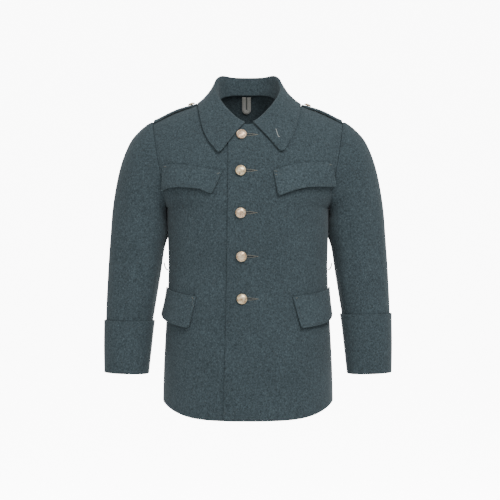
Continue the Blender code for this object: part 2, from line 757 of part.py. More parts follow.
def build_chest_flaps(parts, wool):
    along = np.linspace(0, 1, FLAP_COLUMNS + 1)[None, :]
    down = np.linspace(0, 1, FLAP_ROWS + 1)[:, None]
    for side, flap in CHEST_FLAPS.items():
        x = flap("top_x", along) * (1 - down) + flap("bottom_x", along) * down
        z = flap("top_z", along) * (1 - down) + flap("bottom_z", along) * down
        lift = flap("lift", along) * down**FLAP_LIFT_POWER
        raise_here = lap_raise(x) if side == "left" else 0.0
        under = laid_on(x, z, False, LAY_GAP + lift + raise_here)
        under = mirrored(under[:, ::-1]) if side == "right" else under
        cloth(f"chest_flap_{side}", under, DOUBLE_CLOTH, 1, parts, wool)


def build_hip_flaps(parts, wool):
    along = np.linspace(0, 1, FLAP_COLUMNS + 1)[None, :]
    down = np.linspace(0, 1, FLAP_ROWS + 1)[:, None]
    turn = HIP_FLAP("top_turn", along) * (1 - down) + HIP_FLAP("bottom_turn", along) * down
    z = HIP_FLAP("top_z", along) * (1 - down) + HIP_FLAP("bottom_z", along) * down
    for side in ("left", "right"):
        top_forward, bottom_forward = HIP_FLAP_FORWARD[side]
        forward = top_forward * (1 - down) + bottom_forward * down
        x = TORSO("half_width", z) * share(turn - forward * along**2)
        under = laid_on(x, z, False, LAY_GAP + HIP_FLAP(f"lift_{side}", along) * down**FLAP_LIFT_POWER)
        under = mirrored(under[:, ::-1]) if side == "right" else under
        cloth(f"hip_flap_{side}", under, DOUBLE_CLOTH, 1, parts, wool)


def shoulder_point(x, y, off):
    """A point over the shoulder ridge, at x and y, moved off the cloth."""
    back = y > 0
    z = np.where(back, height_at(x, y, True), height_at(x, y, False))
    p = np.stack([x, y, z], -1)
    normal = np.where(back[..., None], body_normal(p, True), body_normal(p, False))
    return p + normal * np.asarray(off)[..., None]


def strap_rise(along):
    """How far the strap's lower face stands off the shoulder, at shares of its length."""
    return LAY_GAP + STRAP_BOW * np.sin(math.pi * along) ** 2


def build_straps(parts, wool, brass):
    for side in ("left", "right"):
        start = COLLAR(f"{side}_x", 90.0) + STRAP_CLEAR
        length = STRAP_OUTER - start
        shares = np.linspace(0, 1, STRAP_COLUMNS + 1) ** STRAP_COLUMN_POWER
        along, across = np.meshgrid(shares, np.linspace(-1, 1, STRAP_ROWS + 1))
        near_tip = np.clip(1 - length * along / STRAP_TIP_ROUND, 0, 1)
        width = STRAP_HALF_WIDTH * np.sqrt(1 - STRAP_TIP_NARROWS * near_tip**2)
        under = shoulder_point(start + length * along, across * width + JUST_BEHIND, strap_rise(along))
        inset = np.array([STRAP_BUTTON_INSET])
        button_off = strap_rise(inset / length) + DOUBLE_CLOTH + BUTTON_SEAT
        seat = shoulder_point(start + inset, np.array([JUST_BEHIND]), button_off)[0]
        facing = body_normal(seat, True)
        if side == "right":
            under, seat, facing = mirrored(under[:, ::-1]), mirrored(seat), mirrored(facing)
        cloth(f"shoulder_strap_{side}", under, DOUBLE_CLOTH, 1, parts, wool)
        name = f"strap_button_{side}"
        button(name, seat, facing, STRAP_BUTTON_RADIUS, STRAP_BUTTON_STEPS, parts, brass)


# The button's outline from the middle of its dome to the foot of its shank, in shares of its radius
BUTTON_PROFILE = (
    (0.00, 0.62),
    (0.36, 0.59),
    (0.68, 0.48),
    (0.89, 0.33),
    (1.00, 0.20),
    (0.95, 0.13),
    (0.30, 0.11),
    (0.22, 0.00),
    (0.00, 0.00),
)


def button(name, place, facing, radius, steps, parts, brass):
    mesh = bpy.data.meshes.new(name)
    points = [(r * radius, 0.0, h * radius) for r, h in BUTTON_PROFILE]
    mesh.from_pydata(points, [(i, i + 1) for i in range(len(points) - 1)], [])
    obj = finish(bpy.data.objects.new(name, mesh), parts, brass)
    obj.location = place
    obj.rotation_euler = angles_to(facing)
    turned = obj.modifiers.new("turned", "SCREW")
    turned.steps = turned.render_steps = steps
    turned.use_merge_vertices = True
    turned.merge_threshold = 1e-5
    turned.use_smooth_shade = True
    return obj


def angles_to(facing):
    """Euler angles that turn +Z to the facing direction."""
    x, y, z = facing
    return (0.0, math.acos(max(-1.0, min(1.0, z))), math.atan2(y, x))


def build_buttons(parts, brass):
    for i, row in enumerate(BUTTONS, 1):
        place = dict(zip(BUTTON_COLUMNS, row))
        x, height = np.array([place["x"]]), np.array([place["height"]])
        normal = body_normal(body_point(x, height, False), False)[0]
        seat = laid_on(x, height, False, lap_raise(x) + BUTTON_SEAT)[0]
        button(f"button_{i}", seat, normal, BUTTON_RADIUS, BUTTON_STEPS, parts, brass)


def build_loop(parts, tape):
    """The hanging loop: a tape folded into a narrow U against the inside of the back."""
    bend = np.radians(np.linspace(180, 360, LOOP_BEND_STEPS + 1))
    out_x = np.concatenate([[-1.0, -1.0], np.cos(bend), [1.0, 1.0]])
    out_z = np.concatenate([[0.0, 0.0], np.sin(bend), [0.0, 0.0]])
    bend_z = np.full(bend.shape, LOOP_BOTTOM)
    middle_z = np.concatenate([[LOOP_TOP, LOOP_MIDDLE], bend_z, [LOOP_MIDDLE, LOOP_TOP]])
    from_middle = LOOP_HALF_WIDTH + np.array([-0.5, 0.5])[:, None] * LOOP_TAPE_WIDTH
    x, z = LOOP_X + from_middle * out_x, middle_z + from_middle * out_z
    near = laid_on(x, z, True, np.full(x.shape, -(CLOTH + LOOP_CLEAR)))
    cloth("hanger_loop", near, TAPE, -1, parts, tape)


def build_hooks(parts, steel):
    """The belt hooks: a short bent wire out of each side seam at the waist."""
    width = float(TORSO("half_width", HOOK_HEIGHT)) + HOOK_GAP
    for side, flip in (("left", 1.0), ("right", -1.0)):
        curve = bpy.data.curves.new(f"belt_hook_{side}", "CURVE")
        curve.dimensions = "3D"
        curve.bevel_depth = HOOK_RADIUS
        curve.bevel_resolution = 2
        curve.use_fill_caps = True
        line = curve.splines.new("POLY")
        line.points.add(len(HOOK_ROUTE) - 1)
        for point, (out, up) in zip(line.points, HOOK_ROUTE):
            point.co = (flip * (width + out), 0.0, HOOK_HEIGHT + up, 1.0)
        finish(bpy.data.objects.new(f"belt_hook_{side}", curve), parts, steel)


def main():
    for obj in list(bpy.data.objects):
        bpy.data.objects.remove(obj)
    parts = collection("wool_military_jacket")
    wool = material("wool", 0.9)
    brass = material("brass", 0.45, 0.8)
    steel = material("steel", 0.5, 0.8)
    tape = material("tape", 0.8)
    build_torso(parts, wool)
    build_sleeves(parts, wool)
    build_cuffs(parts, wool)
    build_collar(parts, wool)
    build_chest_flaps(parts, wool)
    build_hip_flaps(parts, wool)
    build_straps(parts, wool, brass)
    build_buttons(parts, brass)
    build_loop(parts, tape)
    build_hooks(parts, steel)


main()
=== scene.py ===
"""Wool military jacket in worn form: its looks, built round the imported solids."""

import math

import bmesh
import bpy
import numpy as np
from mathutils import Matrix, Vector


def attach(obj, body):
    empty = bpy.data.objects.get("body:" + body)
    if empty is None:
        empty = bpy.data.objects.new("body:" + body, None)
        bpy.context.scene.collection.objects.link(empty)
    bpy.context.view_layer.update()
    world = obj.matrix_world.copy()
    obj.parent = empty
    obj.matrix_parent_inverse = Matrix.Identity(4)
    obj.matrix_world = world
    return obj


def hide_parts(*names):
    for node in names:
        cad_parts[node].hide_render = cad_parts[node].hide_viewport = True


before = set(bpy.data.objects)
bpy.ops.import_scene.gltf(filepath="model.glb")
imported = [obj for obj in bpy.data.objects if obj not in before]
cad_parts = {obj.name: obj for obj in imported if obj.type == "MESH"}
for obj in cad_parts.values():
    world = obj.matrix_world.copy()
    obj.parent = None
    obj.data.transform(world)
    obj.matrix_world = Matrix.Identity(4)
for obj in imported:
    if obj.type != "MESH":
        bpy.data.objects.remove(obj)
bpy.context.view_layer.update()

# Cloth and gaps
CLOTH = 0.0025
DOUBLE_CLOTH = 0.0034
COLLAR_CLOTH = 0.0030
TAPE = 0.0012
SEAM_GAP = 0.0003
LAY_GAP = 0.0005

# Torso
CORNER = 2.3
FRONT_ROLL = 0.200
BACK_ROLL = 0.150
SHOULDER_SLOPE = 0.389
SHOULDER_FULLNESS = 0.0022
SHOULDER_FULL_AT = 0.148
SHOULDER_FULL_SPREAD = 0.038
RIDGE_START = 0.062
RIDGE_ROUND = 0.020
NAPE_RISE = 0.044
NAPE_POWER = 0.85
SHOULDER_TIP = 0.203
UNDERARM = -0.240
SPREAD = 0.100
SPREAD_RISE = 0.110
NECK_HALF_WIDTH = 0.070
NECK_FRONT = 0.0840
NECK_BACK = 0.0665
HEM_FRONT = -0.681
HEM_SIDE = -0.650
HEM_BACK = -0.668
HEM_TURN = 4.5
LAP_RAISE = CLOTH + 0.0006
LAP_FLAT_TO = 0.022
LAP_ENDS_AT = 0.064
UNDERLAP = 0.018

# Mesh density
LOW_ROWS = 64
HIGH_ROWS = 48
OUTER_COLUMNS = 30
NECK_STEP = 5.0


class Table:
    """Rows of named columns, read along the first column by a smooth curve through the rows."""

    def __init__(self, columns, *rows):
        data = np.array(sorted(rows), float)
        self.at = data[:, 0]
        self.values = {name: data[:, i] for i, name in enumerate(columns) if i}
        self.slopes = {name: np.gradient(v, self.at) for name, v in self.values.items()}

    def __call__(self, column, at):
        at = np.clip(at, self.at[0], self.at[-1])
        i = np.clip(np.searchsorted(self.at, at) - 1, 0, len(self.at) - 2)
        step = self.at[i + 1] - self.at[i]
        t = (at - self.at[i]) / step
        v, m = self.values[column], self.slopes[column]
        return (
            (1 + 2 * t) * (1 - t) ** 2 * v[i]
            + t * (1 - t) ** 2 * step * m[i]
            + t * t * (3 - 2 * t) * v[i + 1]
            - t * t * (1 - t) * step * m[i + 1]
        )


TORSO = Table(
    ("height", "half_width", "front", "back"),
    (0.060, 0.174, 0.080, 0.096),
    (0.000, 0.174, 0.087, 0.100),
    (-0.050, 0.174, 0.099, 0.105),
    (-0.100, 0.174, 0.112, 0.111),
    (-0.150, 0.174, 0.121, 0.117),
    (-0.200, 0.174, 0.126, 0.119),
    (-0.240, 0.1735, 0.1275, 0.118),
    (-0.300, 0.1720, 0.1240, 0.110),
    (-0.360, 0.1705, 0.1180, 0.103),
    (-0.420, 0.1720, 0.1185, 0.106),
    (-0.500, 0.1765, 0.1240, 0.115),
    (-0.580, 0.1805, 0.1280, 0.119),
    (-0.640, 0.1820, 0.1300, 0.121),
    (-0.700, 0.1825, 0.1305, 0.122),
)
ARMHOLE = Table(
    ("height", "x"),
    (-0.240, 0.1735),
    (-0.200, 0.1775),
    (-0.150, 0.1870),
    (-0.100, 0.1955),
    (-0.050, 0.2035),
)
FRONT_EDGE = Table(
    ("height", "x"),
    (-0.700, -0.0508),
    (-0.640, -0.0498),
    (-0.540, -0.0466),
    (-0.400, -0.0440),
    (-0.200, -0.0412),
    (-0.060, -0.0410),
)
SLEEVE = Table(
    ("ring", "outer_x", "outer_z", "inner_x", "inner_z", "half_depth", "middle_y", "armhole"),
    (0.0, 0.2035, -0.0552, 0.1737, -0.2400, 0.072, 0.000, 1.00),
    (0.5, 0.2100, -0.0560, 0.1752, -0.2425, 0.073, 0.000, 0.75),
    (1.0, 0.2200, -0.0625, 0.1738, -0.2450, 0.074, 0.000, 0.50),
    (2.0, 0.2460, -0.0880, 0.1728, -0.2500, 0.075, 0.001, 0.15),
    (3.0, 0.2605, -0.1140, 0.1728, -0.2550, 0.076, 0.002, 0.00),
    (4.0, 0.2730, -0.1480, 0.1722, -0.2620, 0.076, 0.003, 0.00),
    (5.0, 0.2830, -0.1910, 0.1700, -0.2750, 0.075, 0.004, 0.00),
    (6.0, 0.2910, -0.2430, 0.1712, -0.2960, 0.073, 0.004, 0.00),
    (7.0, 0.2950, -0.2950, 0.1797, -0.3260, 0.069, 0.003, 0.00),
    (8.0, 0.2988, -0.3520, 0.1852, -0.3650, 0.065, 0.000, 0.00),
    (9.0, 0.3012, -0.4050, 0.1920, -0.4100, 0.061, -0.006, 0.00),
    (10.0, 0.3026, -0.4500, 0.1985, -0.4520, 0.0565, -0.013, 0.00),
    (11.0, 0.3028, -0.4850, 0.2035, -0.4860, 0.0520, -0.018, 0.00),
    (12.0, 0.3030, -0.5360, 0.2085, -0.5380, 0.0480, -0.025, 0.00),
    (13.0, 0.3018, -0.5875, 0.2135, -0.5905, 0.0450, -0.032, 0.00),
)
LAST_RING = 13.0
RINGS_PER_UNIT = 8
SLEEVE_CORNER = 2.25
SLEEVE_CLEAR = 0.0009
SLEEVE_CLEAR_BELOW = 0.004
FRONT_SLEEVE_SEAM = 165.0
BACK_SLEEVE_SEAM = 255.0
SLEEVE_CREASE_COLUMNS = ("turn", "ring", "spread_turn", "spread_rings", "lean", "depth")
SLEEVE_CREASES = (
    (62.0, 7.2, 17.0, 2.6, 3.0, -0.0035),
    (108.0, 6.2, 15.0, 2.2, -2.0, -0.0030),
    (138.0, 8.6, 14.0, 1.8, 3.0, 0.0022),
    (235.0, 7.6, 20.0, 2.4, -3.0, -0.0035),
    (285.0, 6.8, 18.0, 2.4, 2.0, 0.0025),
)
CUFF = Table(
    ("ring", "off"),
    (10.30, 0.0017),
    (11.5, 0.0013),
    (12.4, 0.0009),
    (13.04, 0.0007),
)
CUFF_ROWS = 30
CUFF_TOP = {"left": 10.38, "right": 10.82}
COLLAR = Table(
    ("place", "stand", "roll", "lean", "sag", "right_x", "left_x", "edge_y", "right_z", "left_z", "off"),
    (0.0, 0.0072, 0.0052, 0.0000, 0.0000, 0.0578, 0.0700, -0.1065, -0.1340, -0.1307, 0.0040),
    (8.0, 0.0085, 0.0052, 0.0000, 0.0000, 0.0676, 0.0763, -0.1050, -0.1211, -0.1211, 0.0040),
    (24.0, 0.0115, 0.0048, 0.0006, 0.0000, 0.0825, 0.0885, -0.0990, -0.1010, -0.1010, 0.0036),
    (40.0, 0.0120, 0.0040, 0.0022, 0.0000, 0.0935, 0.0985, -0.0880, -0.0775, -0.0775, 0.0034),
    (58.0, 0.0150, 0.0030, 0.0040, 0.0005, 0.1015, 0.1080, -0.0660, -0.0480, -0.0480, 0.0030),
    (72.0, 0.0215, 0.0024, 0.0044, 0.0020, 0.1046, 0.1111, -0.0400, -0.0290, -0.0290, 0.0030),
    (88.0, 0.0330, 0.0021, 0.0030, 0.0040, 0.1055, 0.1120, -0.0050, -0.0185, -0.0185, 0.0030),
    (102.0, 0.0415, 0.0021, 0.0030, 0.0060, 0.1030, 0.1090, 0.0190, -0.0190, -0.0190, 0.0031),
    (118.0, 0.0445, 0.0023, 0.0030, 0.0055, 0.0955, 0.1000, 0.0440, -0.0215, -0.0215, 0.0032),
    (150.0, 0.0372, 0.0028, 0.0018, 0.0020, 0.0560, 0.0570, 0.0740, -0.0240, -0.0240, 0.0034),
    (180.0, 0.0362, 0.0030, 0.0010, 0.0000, 0.0000, 0.0000, 0.0990, -0.0200, -0.0200, 0.0036),
)
COLLAR_LEFT_TURN = 9.0
COLLAR_RIGHT_TURN = 6.2
COLLAR_COLUMNS = 141
COLLAR_END_DENSITY = 0.7
COLLAR_INSET = 0.0012
COLLAR_TUCK = 0.004
COLLAR_STAND_ROWS = 8
COLLAR_ROLL_ROWS = 8
COLLAR_FALL_ROWS = 26
COLLAR_TIP_ROUND = 0.010
CHEST_FLAP_COLUMNS = ("along", "top_x", "top_z", "bottom_x", "bottom_z", "lift")
CHEST_FLAPS = {
    "left": Table(
        CHEST_FLAP_COLUMNS,
        (0.00, 0.1765, -0.1508, 0.1798, -0.1950, 0.0045),
        (0.08, 0.1670, -0.1474, 0.1690, -0.1962, 0.0042),
        (0.28, 0.1400, -0.1475, 0.1400, -0.1978, 0.0040),
        (0.52, 0.1080, -0.1512, 0.1110, -0.2015, 0.0036),
        (0.75, 0.0800, -0.1565, 0.0850, -0.2095, 0.0032),
        (0.92, 0.0600, -0.1628, 0.0690, -0.2155, 0.0030),
        (1.00, 0.0519, -0.1658, 0.0620, -0.2174, 0.0030),
    ),
    "right": Table(
        CHEST_FLAP_COLUMNS,
        (0.00, 0.1770, -0.1540, 0.1775, -0.2045, 0.0035),
        (0.08, 0.1680, -0.1520, 0.1670, -0.2008, 0.0040),
        (0.28, 0.1377, -0.1528, 0.1440, -0.1985, 0.0040),
        (0.52, 0.1093, -0.1567, 0.1170, -0.2010, 0.0036),
        (0.75, 0.0814, -0.1623, 0.0960, -0.2045, 0.0030),
        (0.92, 0.0620, -0.1668, 0.0810, -0.2113, 0.0028),
        (1.00, 0.0537, -0.1687, 0.0731, -0.2135, 0.0028),
    ),
}
HIP_FLAP = Table(
    ("along", "top_turn", "top_z", "bottom_turn", "bottom_z", "lift_left", "lift_right"),
    (0.00, 86.0, -0.4080, 87.0, -0.4660, 0.0030, 0.0085),
    (0.10, 79.0, -0.4110, 80.0, -0.4720, 0.0032, 0.0080),
    (0.35, 66.0, -0.4155, 68.0, -0.4805, 0.0035, 0.0055),
    (0.70, 49.5, -0.4212, 51.5, -0.4878, 0.0035, 0.0040),
    (1.00, 37.5, -0.4252, 41.5, -0.4915, 0.0032, 0.0035),
)
# How many degrees further forward each flap's front end reaches, at its top and at its bottom
HIP_FLAP_FORWARD = {"left": (8.6, 6.4), "right": (2.1, 1.0)}
FLAP_COLUMNS = 64
FLAP_ROWS = 26
FLAP_CORNER_ROUND = 0.0055
STRAP_HALF_WIDTH = 0.023
STRAP_TIP_ROUND = 0.016
STRAP_OUTER = 0.2005
STRAP_CLEAR = 0.0022
STRAP_BOW = 0.0022
STRAP_COLUMNS = 48
STRAP_ROWS = 22
BUTTON_COLUMNS = ("x", "height")
BUTTONS = (
    (-0.0132, -0.0911),
    (-0.0146, -0.1661),
    (-0.0146, -0.2525),
    (-0.0131, -0.3419),
    (-0.0121, -0.4300),
)
BUTTON_RADIUS = 0.0110
BUTTON_SEAT = 0.0006
STRAP_BUTTON_RADIUS = 0.0080
STRAP_BUTTON_INSET = 0.0120
LOOP_X = -0.0036
LOOP_HALF_WIDTH = 0.0055
LOOP_TAPE_WIDTH = 0.0090
LOOP_TOP = 0.0098
LOOP_BOTTOM = -0.0165
LOOP_CLEAR = 0.0014
HOOK_HEIGHT = -0.3715
HOOK_RADIUS = 0.0012
HOOK_GAP = 0.0010
HOOK_ROUTE = ((0.0, 0.0), (0.0028, 0.0004), (0.0054, 0.0034), (0.0074, 0.0080), (0.0086, 0.0150))


def smooth(t):
    t = np.clip(t, 0, 1)
    return t * t * (3 - 2 * t)


def unit(v):
    return v / np.maximum(np.linalg.norm(v, axis=-1, keepdims=True), 1e-12)


def ridge(x, back):
    reach = np.abs(x) - RIDGE_START
    slope = -SHOULDER_SLOPE * 0.5 * (reach + np.sqrt(reach**2 + RIDGE_ROUND**2))
    full = np.exp(-(((np.abs(x) - SHOULDER_FULL_AT) / SHOULDER_FULL_SPREAD) ** 2))
    inside = np.clip(1 - (x / NECK_HALF_WIDTH) ** 2, 0, None)
    return slope + SHOULDER_FULLNESS * full + (NAPE_RISE * inside**NAPE_POWER if back else 0)


def spread_width(z):
    above = np.clip(z - UNDERARM, 0, None)
    return TORSO("half_width", z) + SPREAD * (1 - np.exp(-above / SPREAD_RISE))


def fall_from_ridge(x, z, back):
    roll = BACK_ROLL if back else FRONT_ROLL
    return np.clip(1 - (ridge(x, back) - z) / roll, 0, None) ** CORNER


def depth(x, z, back):
    section = np.clip(1 - (np.abs(x) / spread_width(z)) ** CORNER, 0, None)
    rolled = np.clip(1 - fall_from_ridge(x, z, back), 0, None)
    return TORSO("back" if back else "front", z) * (section * rolled) ** (1 / CORNER)


def body_field(p, back):
    x, y, z = p[..., 0], p[..., 1], p[..., 2]
    deep = TORSO("back" if back else "front", z)
    section = (np.abs(x) / spread_width(z)) ** CORNER - 1
    return (np.abs(y) / deep) ** CORNER + (1 - fall_from_ridge(x, z, back)) * section


def field_gradient(p, back, step=2e-5):
    moves = np.eye(3) * step
    return np.stack([body_field(p + m, back) - body_field(p - m, back) for m in moves], -1) / (2 * step)


def body_normal(p, back):
    return unit(field_gradient(p, back))


def off_body(p, back):
    return body_field(p, back) / np.linalg.norm(field_gradient(p, back), axis=-1)


def body_point(x, z, back):
    y = depth(x, z, back)
    return np.stack([x, y if back else -y, z], -1)


def height_at(x, y, back):
    top = ridge(x, back) + np.zeros_like(y)
    low = top - (BACK_ROLL if back else FRONT_ROLL)
    high = top
    for _ in range(40):
        middle = (low + high) / 2
        deeper = depth(x, middle, back) > np.abs(y)
        low = np.where(deeper, middle, low)
        high = np.where(deeper, high, middle)
    return (low + high) / 2


def neckline_height(x, back):
    reach = NECK_BACK if back else NECK_FRONT
    oval = np.sqrt(np.clip(1 - (x / NECK_HALF_WIDTH) ** 2, 0, None))
    return height_at(x, reach * oval, back)


def share(angle):
    s = np.sin(np.radians(angle))
    return np.sign(s) * np.abs(s) ** (2 / CORNER)


def angle_of(place):
    place = np.clip(place, -1, 1)
    return np.degrees(np.arcsin(np.sign(place) * np.abs(place) ** (CORNER / 2)))


NECK_ANGLE = float(angle_of(NECK_HALF_WIDTH / SHOULDER_TIP))


def neck_columns(start_x):
    start = math.degrees(math.asin(start_x / NECK_HALF_WIDTH))
    turns = np.linspace(start, 90, round((90 - start) / NECK_STEP) + 1)
    return angle_of(NECK_HALF_WIDTH * np.sin(np.radians(turns)) / SHOULDER_TIP)


def front_angles(inner, top_inner):
    at_top = neck_columns(top_inner)
    shares = (at_top - at_top[0]) / (at_top[-1] - at_top[0])
    to_neck = inner + (NECK_ANGLE - inner) * shares
    to_side = np.linspace(NECK_ANGLE, 90, OUTER_COLUMNS + 1)
    return np.concatenate([to_neck, to_side[1:]])


def back_angles():
    over = neck_columns(-NECK_HALF_WIDTH)
    to_side = np.linspace(NECK_ANGLE, 90, OUTER_COLUMNS + 1)
    return np.concatenate([-to_side[::-1], over[1:-1], to_side])


def top_height(x, back):
    inside = np.abs(x) < NECK_HALF_WIDTH - 1e-6
    return np.where(inside, neckline_height(x, back), ridge(x, back))


def hem_height(place, back):
    middle = HEM_BACK if back else HEM_FRONT
    return middle + (HEM_SIDE - middle) * np.abs(place) ** HEM_TURN


TIP_HEIGHT = float(ridge(SHOULDER_TIP, False))


def rise_rows():
    return (1 - np.cos(np.pi * np.arange(1, HIGH_ROWS + 1) / HIGH_ROWS)) / 2


def torso_grid(back, inner_edge=None):
    def angles(limit, z):
        if back:
            return back_angles()
        return front_angles(angle_of(inner_edge(z) / limit), inner_edge(TIP_HEIGHT))

    rows = []
    for t in np.linspace(0, 1, LOW_ROWS + 1):
        level = HEM_FRONT + (UNDERARM - HEM_FRONT) * t
        place = share(angles(TORSO("half_width", level), level))
        z = hem_height(place, back) * (1 - t) + UNDERARM * t
        x = TORSO("half_width", z) * place
        rows.append(body_point(x, z, back))
    top_place = share(angles(SHOULDER_TIP, TIP_HEIGHT))
    top = top_height(SHOULDER_TIP * top_place, back)
    for w in rise_rows():
        level = UNDERARM + (TIP_HEIGHT - UNDERARM) * w
        limit = ARMHOLE("x", level) if w < 1 else SHOULDER_TIP
        x = limit * share(angles(limit, level))
        z = UNDERARM + (top - UNDERARM) * w
        rows.append(body_point(x, z, back))
    return np.array(rows)


def mirrored(points):
    return points * np.array([-1.0, 1.0, 1.0])


def lap_raise(x):
    return LAP_RAISE * smooth((LAP_ENDS_AT - x) / (LAP_ENDS_AT - LAP_FLAT_TO))


def lap_step(x):
    return lap_raise(x) * smooth((x + LAP_ENDS_AT + 0.016) / 0.030)


# Soft folds of the torso. Lean turns each from upright, and the last two columns are its half
# length and half width.
FOLD_COLUMNS = ("x", "z", "lean", "depth", "half_length", "half_width")
FRONT_FOLDS = (
    (0.118, -0.300, 16.0, -0.0016, 0.070, 0.016),
    (0.138, -0.330, 10.0, 0.0012, 0.060, 0.013),
    (-0.112, -0.310, -14.0, -0.0015, 0.070, 0.017),
    (-0.136, -0.335, -9.0, 0.0012, 0.060, 0.013),
    (0.060, -0.330, 6.0, -0.0008, 0.090, 0.022),
    (-0.078, -0.350, -5.0, -0.0008, 0.090, 0.022),
    (0.092, -0.590, -4.0, -0.0012, 0.080, 0.024),
    (-0.100, -0.600, 5.0, -0.0012, 0.080, 0.024),
    (0.020, -0.560, 2.0, 0.0008, 0.100, 0.030),
    (0.128, -0.085, 40.0, -0.0010, 0.045, 0.016),
    (-0.128, -0.085, -40.0, -0.0010, 0.045, 0.016),
)
BACK_FOLDS = (
    (0.120, -0.290, 18.0, -0.0022, 0.080, 0.018),
    (-0.120, -0.290, -18.0, -0.0022, 0.080, 0.018),
    (0.070, -0.330, 8.0, -0.0014, 0.090, 0.020),
    (-0.070, -0.330, -8.0, -0.0014, 0.090, 0.020),
    (0.050, -0.590, -3.0, 0.0014, 0.090, 0.026),
    (-0.050, -0.590, 3.0, 0.0014, 0.090, 0.026),
    (0.000, -0.140, 0.0, -0.0010, 0.110, 0.030),
)


def folds(p, back):
    """How far the torso's soft folds move its cloth out."""
    moved = np.zeros(p.shape[:-1])
    for row in BACK_FOLDS if back else FRONT_FOLDS:
        fold = dict(zip(FOLD_COLUMNS, row))
        a = math.radians(fold["lean"])
        dx, dz = p[..., 0] - fold["x"], p[..., 2] - fold["z"]
        along = -dx * math.sin(a) + dz * math.cos(a)
        across = dx * math.cos(a) + dz * math.sin(a)
        moved += fold["depth"] * np.exp(
            -((along / fold["half_length"]) ** 2) - (across / fold["half_width"]) ** 2
        )
    return moved


def body_surface(x, z, back, off):
    """Points of the torso's outer cloth with its folds, moved off it."""
    p = body_point(x, z, back)
    normal = body_normal(p, back)
    return p + normal * (folds(p, back) + off)[..., None]


def frame_piece(name, shape, finish_material, node=None):
    mesh = bpy.data.meshes.new(name)
    shape.to_mesh(mesh)
    shape.free()
    mesh.shade_smooth()
    obj = bpy.data.objects.new(name, mesh)
    bpy.context.scene.collection.objects.link(obj)
    obj.data.materials.append(finish_material)
    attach(obj, "root")
    if node:
        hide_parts(node)
    return obj


def arc(points, axis):
    steps = np.linalg.norm(np.diff(points, axis=axis), axis=-1)
    pad = np.zeros_like(np.take(steps, [0], axis=axis))
    return np.cumsum(np.concatenate([pad, steps], axis=axis), axis=axis)


def sample(grid, r, c):
    """The grid at fractional rows and columns."""
    r = np.clip(r, 0, grid.shape[0] - 1.000001)
    c = np.clip(c, 0, grid.shape[1] - 1.000001)
    i, j = r.astype(int), c.astype(int)
    u, v = (r - i)[..., None], (c - j)[..., None]
    return (
        grid[i, j] * (1 - u) * (1 - v)
        + grid[i + 1, j] * u * (1 - v)
        + grid[i, j + 1] * (1 - u) * v
        + grid[i + 1, j + 1] * u * v
    )


def round_corner(grid, last_row, last_column, radius):
    """The grid with one of its corners rounded, by a square-to-disc map of the corner's zone."""
    turned = grid[::-1] if last_row else grid
    turned = turned[:, ::-1] if last_column else turned
    down, over = arc(turned[..., :3], 0), arc(turned[..., :3], 1)
    result = turned.copy()
    near = (down < radius) & (over < radius)
    for r, c in zip(*np.nonzero(near)):
        p = np.array([radius - down[r, c], radius - over[r, c]])
        p = p * max(p) / max(np.hypot(*p), 1e-12)
        row = np.interp(radius - p[0], down[:, c], np.arange(len(down)))
        column = np.interp(radius - p[1], over[r], np.arange(over.shape[1]))
        result[r, c] = sample(turned, np.array(row), np.array(column))
    result = result[:, ::-1] if last_column else result
    return result[::-1] if last_row else result


EDGE_ROUND = 0.0014
RIM_ANGLES = (30, 60, 90, 120, 150)


def loop_of(rows, columns):
    """The grid's border as one loop of row and column indices."""
    loop = [(0, c) for c in range(columns)]
    loop += [(r, columns - 1) for r in range(1, rows)]
    loop += [(rows - 1, c) for c in range(columns - 2, -1, -1)]
    loop += [(r, 0) for r in range(rows - 2, 0, -1)]
    return loop


def slab(name, outer, inner, finish_material, node=None, tube=False, edge=EDGE_ROUND):
    """Cloth between two grids of points, with rounded edges all round."""
    outer, inner = outer.copy(), inner.copy()
    rows, columns = outer.shape[:2]
    if tube:
        loops = [[(0, c) for c in range(columns)], [(rows - 1, c) for c in range(columns)]]
    else:
        loops = [loop_of(rows, columns)]
    rims = []
    whole_outer, whole_inner = outer.copy(), inner.copy()
    for loop in loops:
        middles, inward, half = [], [], []
        for r, c in loop:
            steps = []
            if r in (0, rows - 1):
                steps.append(whole_outer[1 if r == 0 else rows - 2, c] - whole_outer[r, c])
            if not tube and c in (0, columns - 1):
                steps.append(whole_outer[r, 1 if c == 0 else columns - 2] - whole_outer[r, c])
            reach = min(np.linalg.norm(s) for s in steps)
            way = unit(sum(unit(s) for s in steps))
            inset = min(edge, 0.45 * reach)
            middle = (whole_outer[r, c] + whole_inner[r, c]) / 2 + way * inset
            up = (whole_outer[r, c] - whole_inner[r, c]) / 2
            outer[r, c], inner[r, c] = middle + up, middle - up
            middles.append(middle)
            inward.append(-way * inset)
            half.append(up)
        middles, inward, half = np.array(middles), np.array(inward), np.array(half)
        rims.append([middles + inward * math.sin(math.radians(a)) + half * math.cos(math.radians(a)) for a in RIM_ANGLES])
    shape = bmesh.new()
    over = [[shape.verts.new(p) for p in row] for row in outer]
    under = [[shape.verts.new(p) for p in row] for row in inner]
    span = columns if tube else columns - 1
    for grid, flip in ((over, False), (under, True)):
        for r in range(rows - 1):
            for c in range(span):
                n = (c + 1) % columns
                corners = (grid[r][c], grid[r][n], grid[r + 1][n], grid[r + 1][c])
                shape.faces.new(corners[::-1] if flip else corners)
    for loop, rim in zip(loops, rims):
        lines = [[over[r][c] for r, c in loop]]
        lines += [[shape.verts.new(p) for p in line] for line in rim]
        lines += [[under[r][c] for r, c in loop]]
        for near, far in zip(lines, lines[1:]):
            for k in range(len(loop)):
                n = (k + 1) % len(loop)
                shape.faces.new((near[k], near[n], far[n], far[k]))
    bmesh.ops.recalc_face_normals(shape, faces=shape.faces)
    return frame_piece(name, shape, finish_material, node)


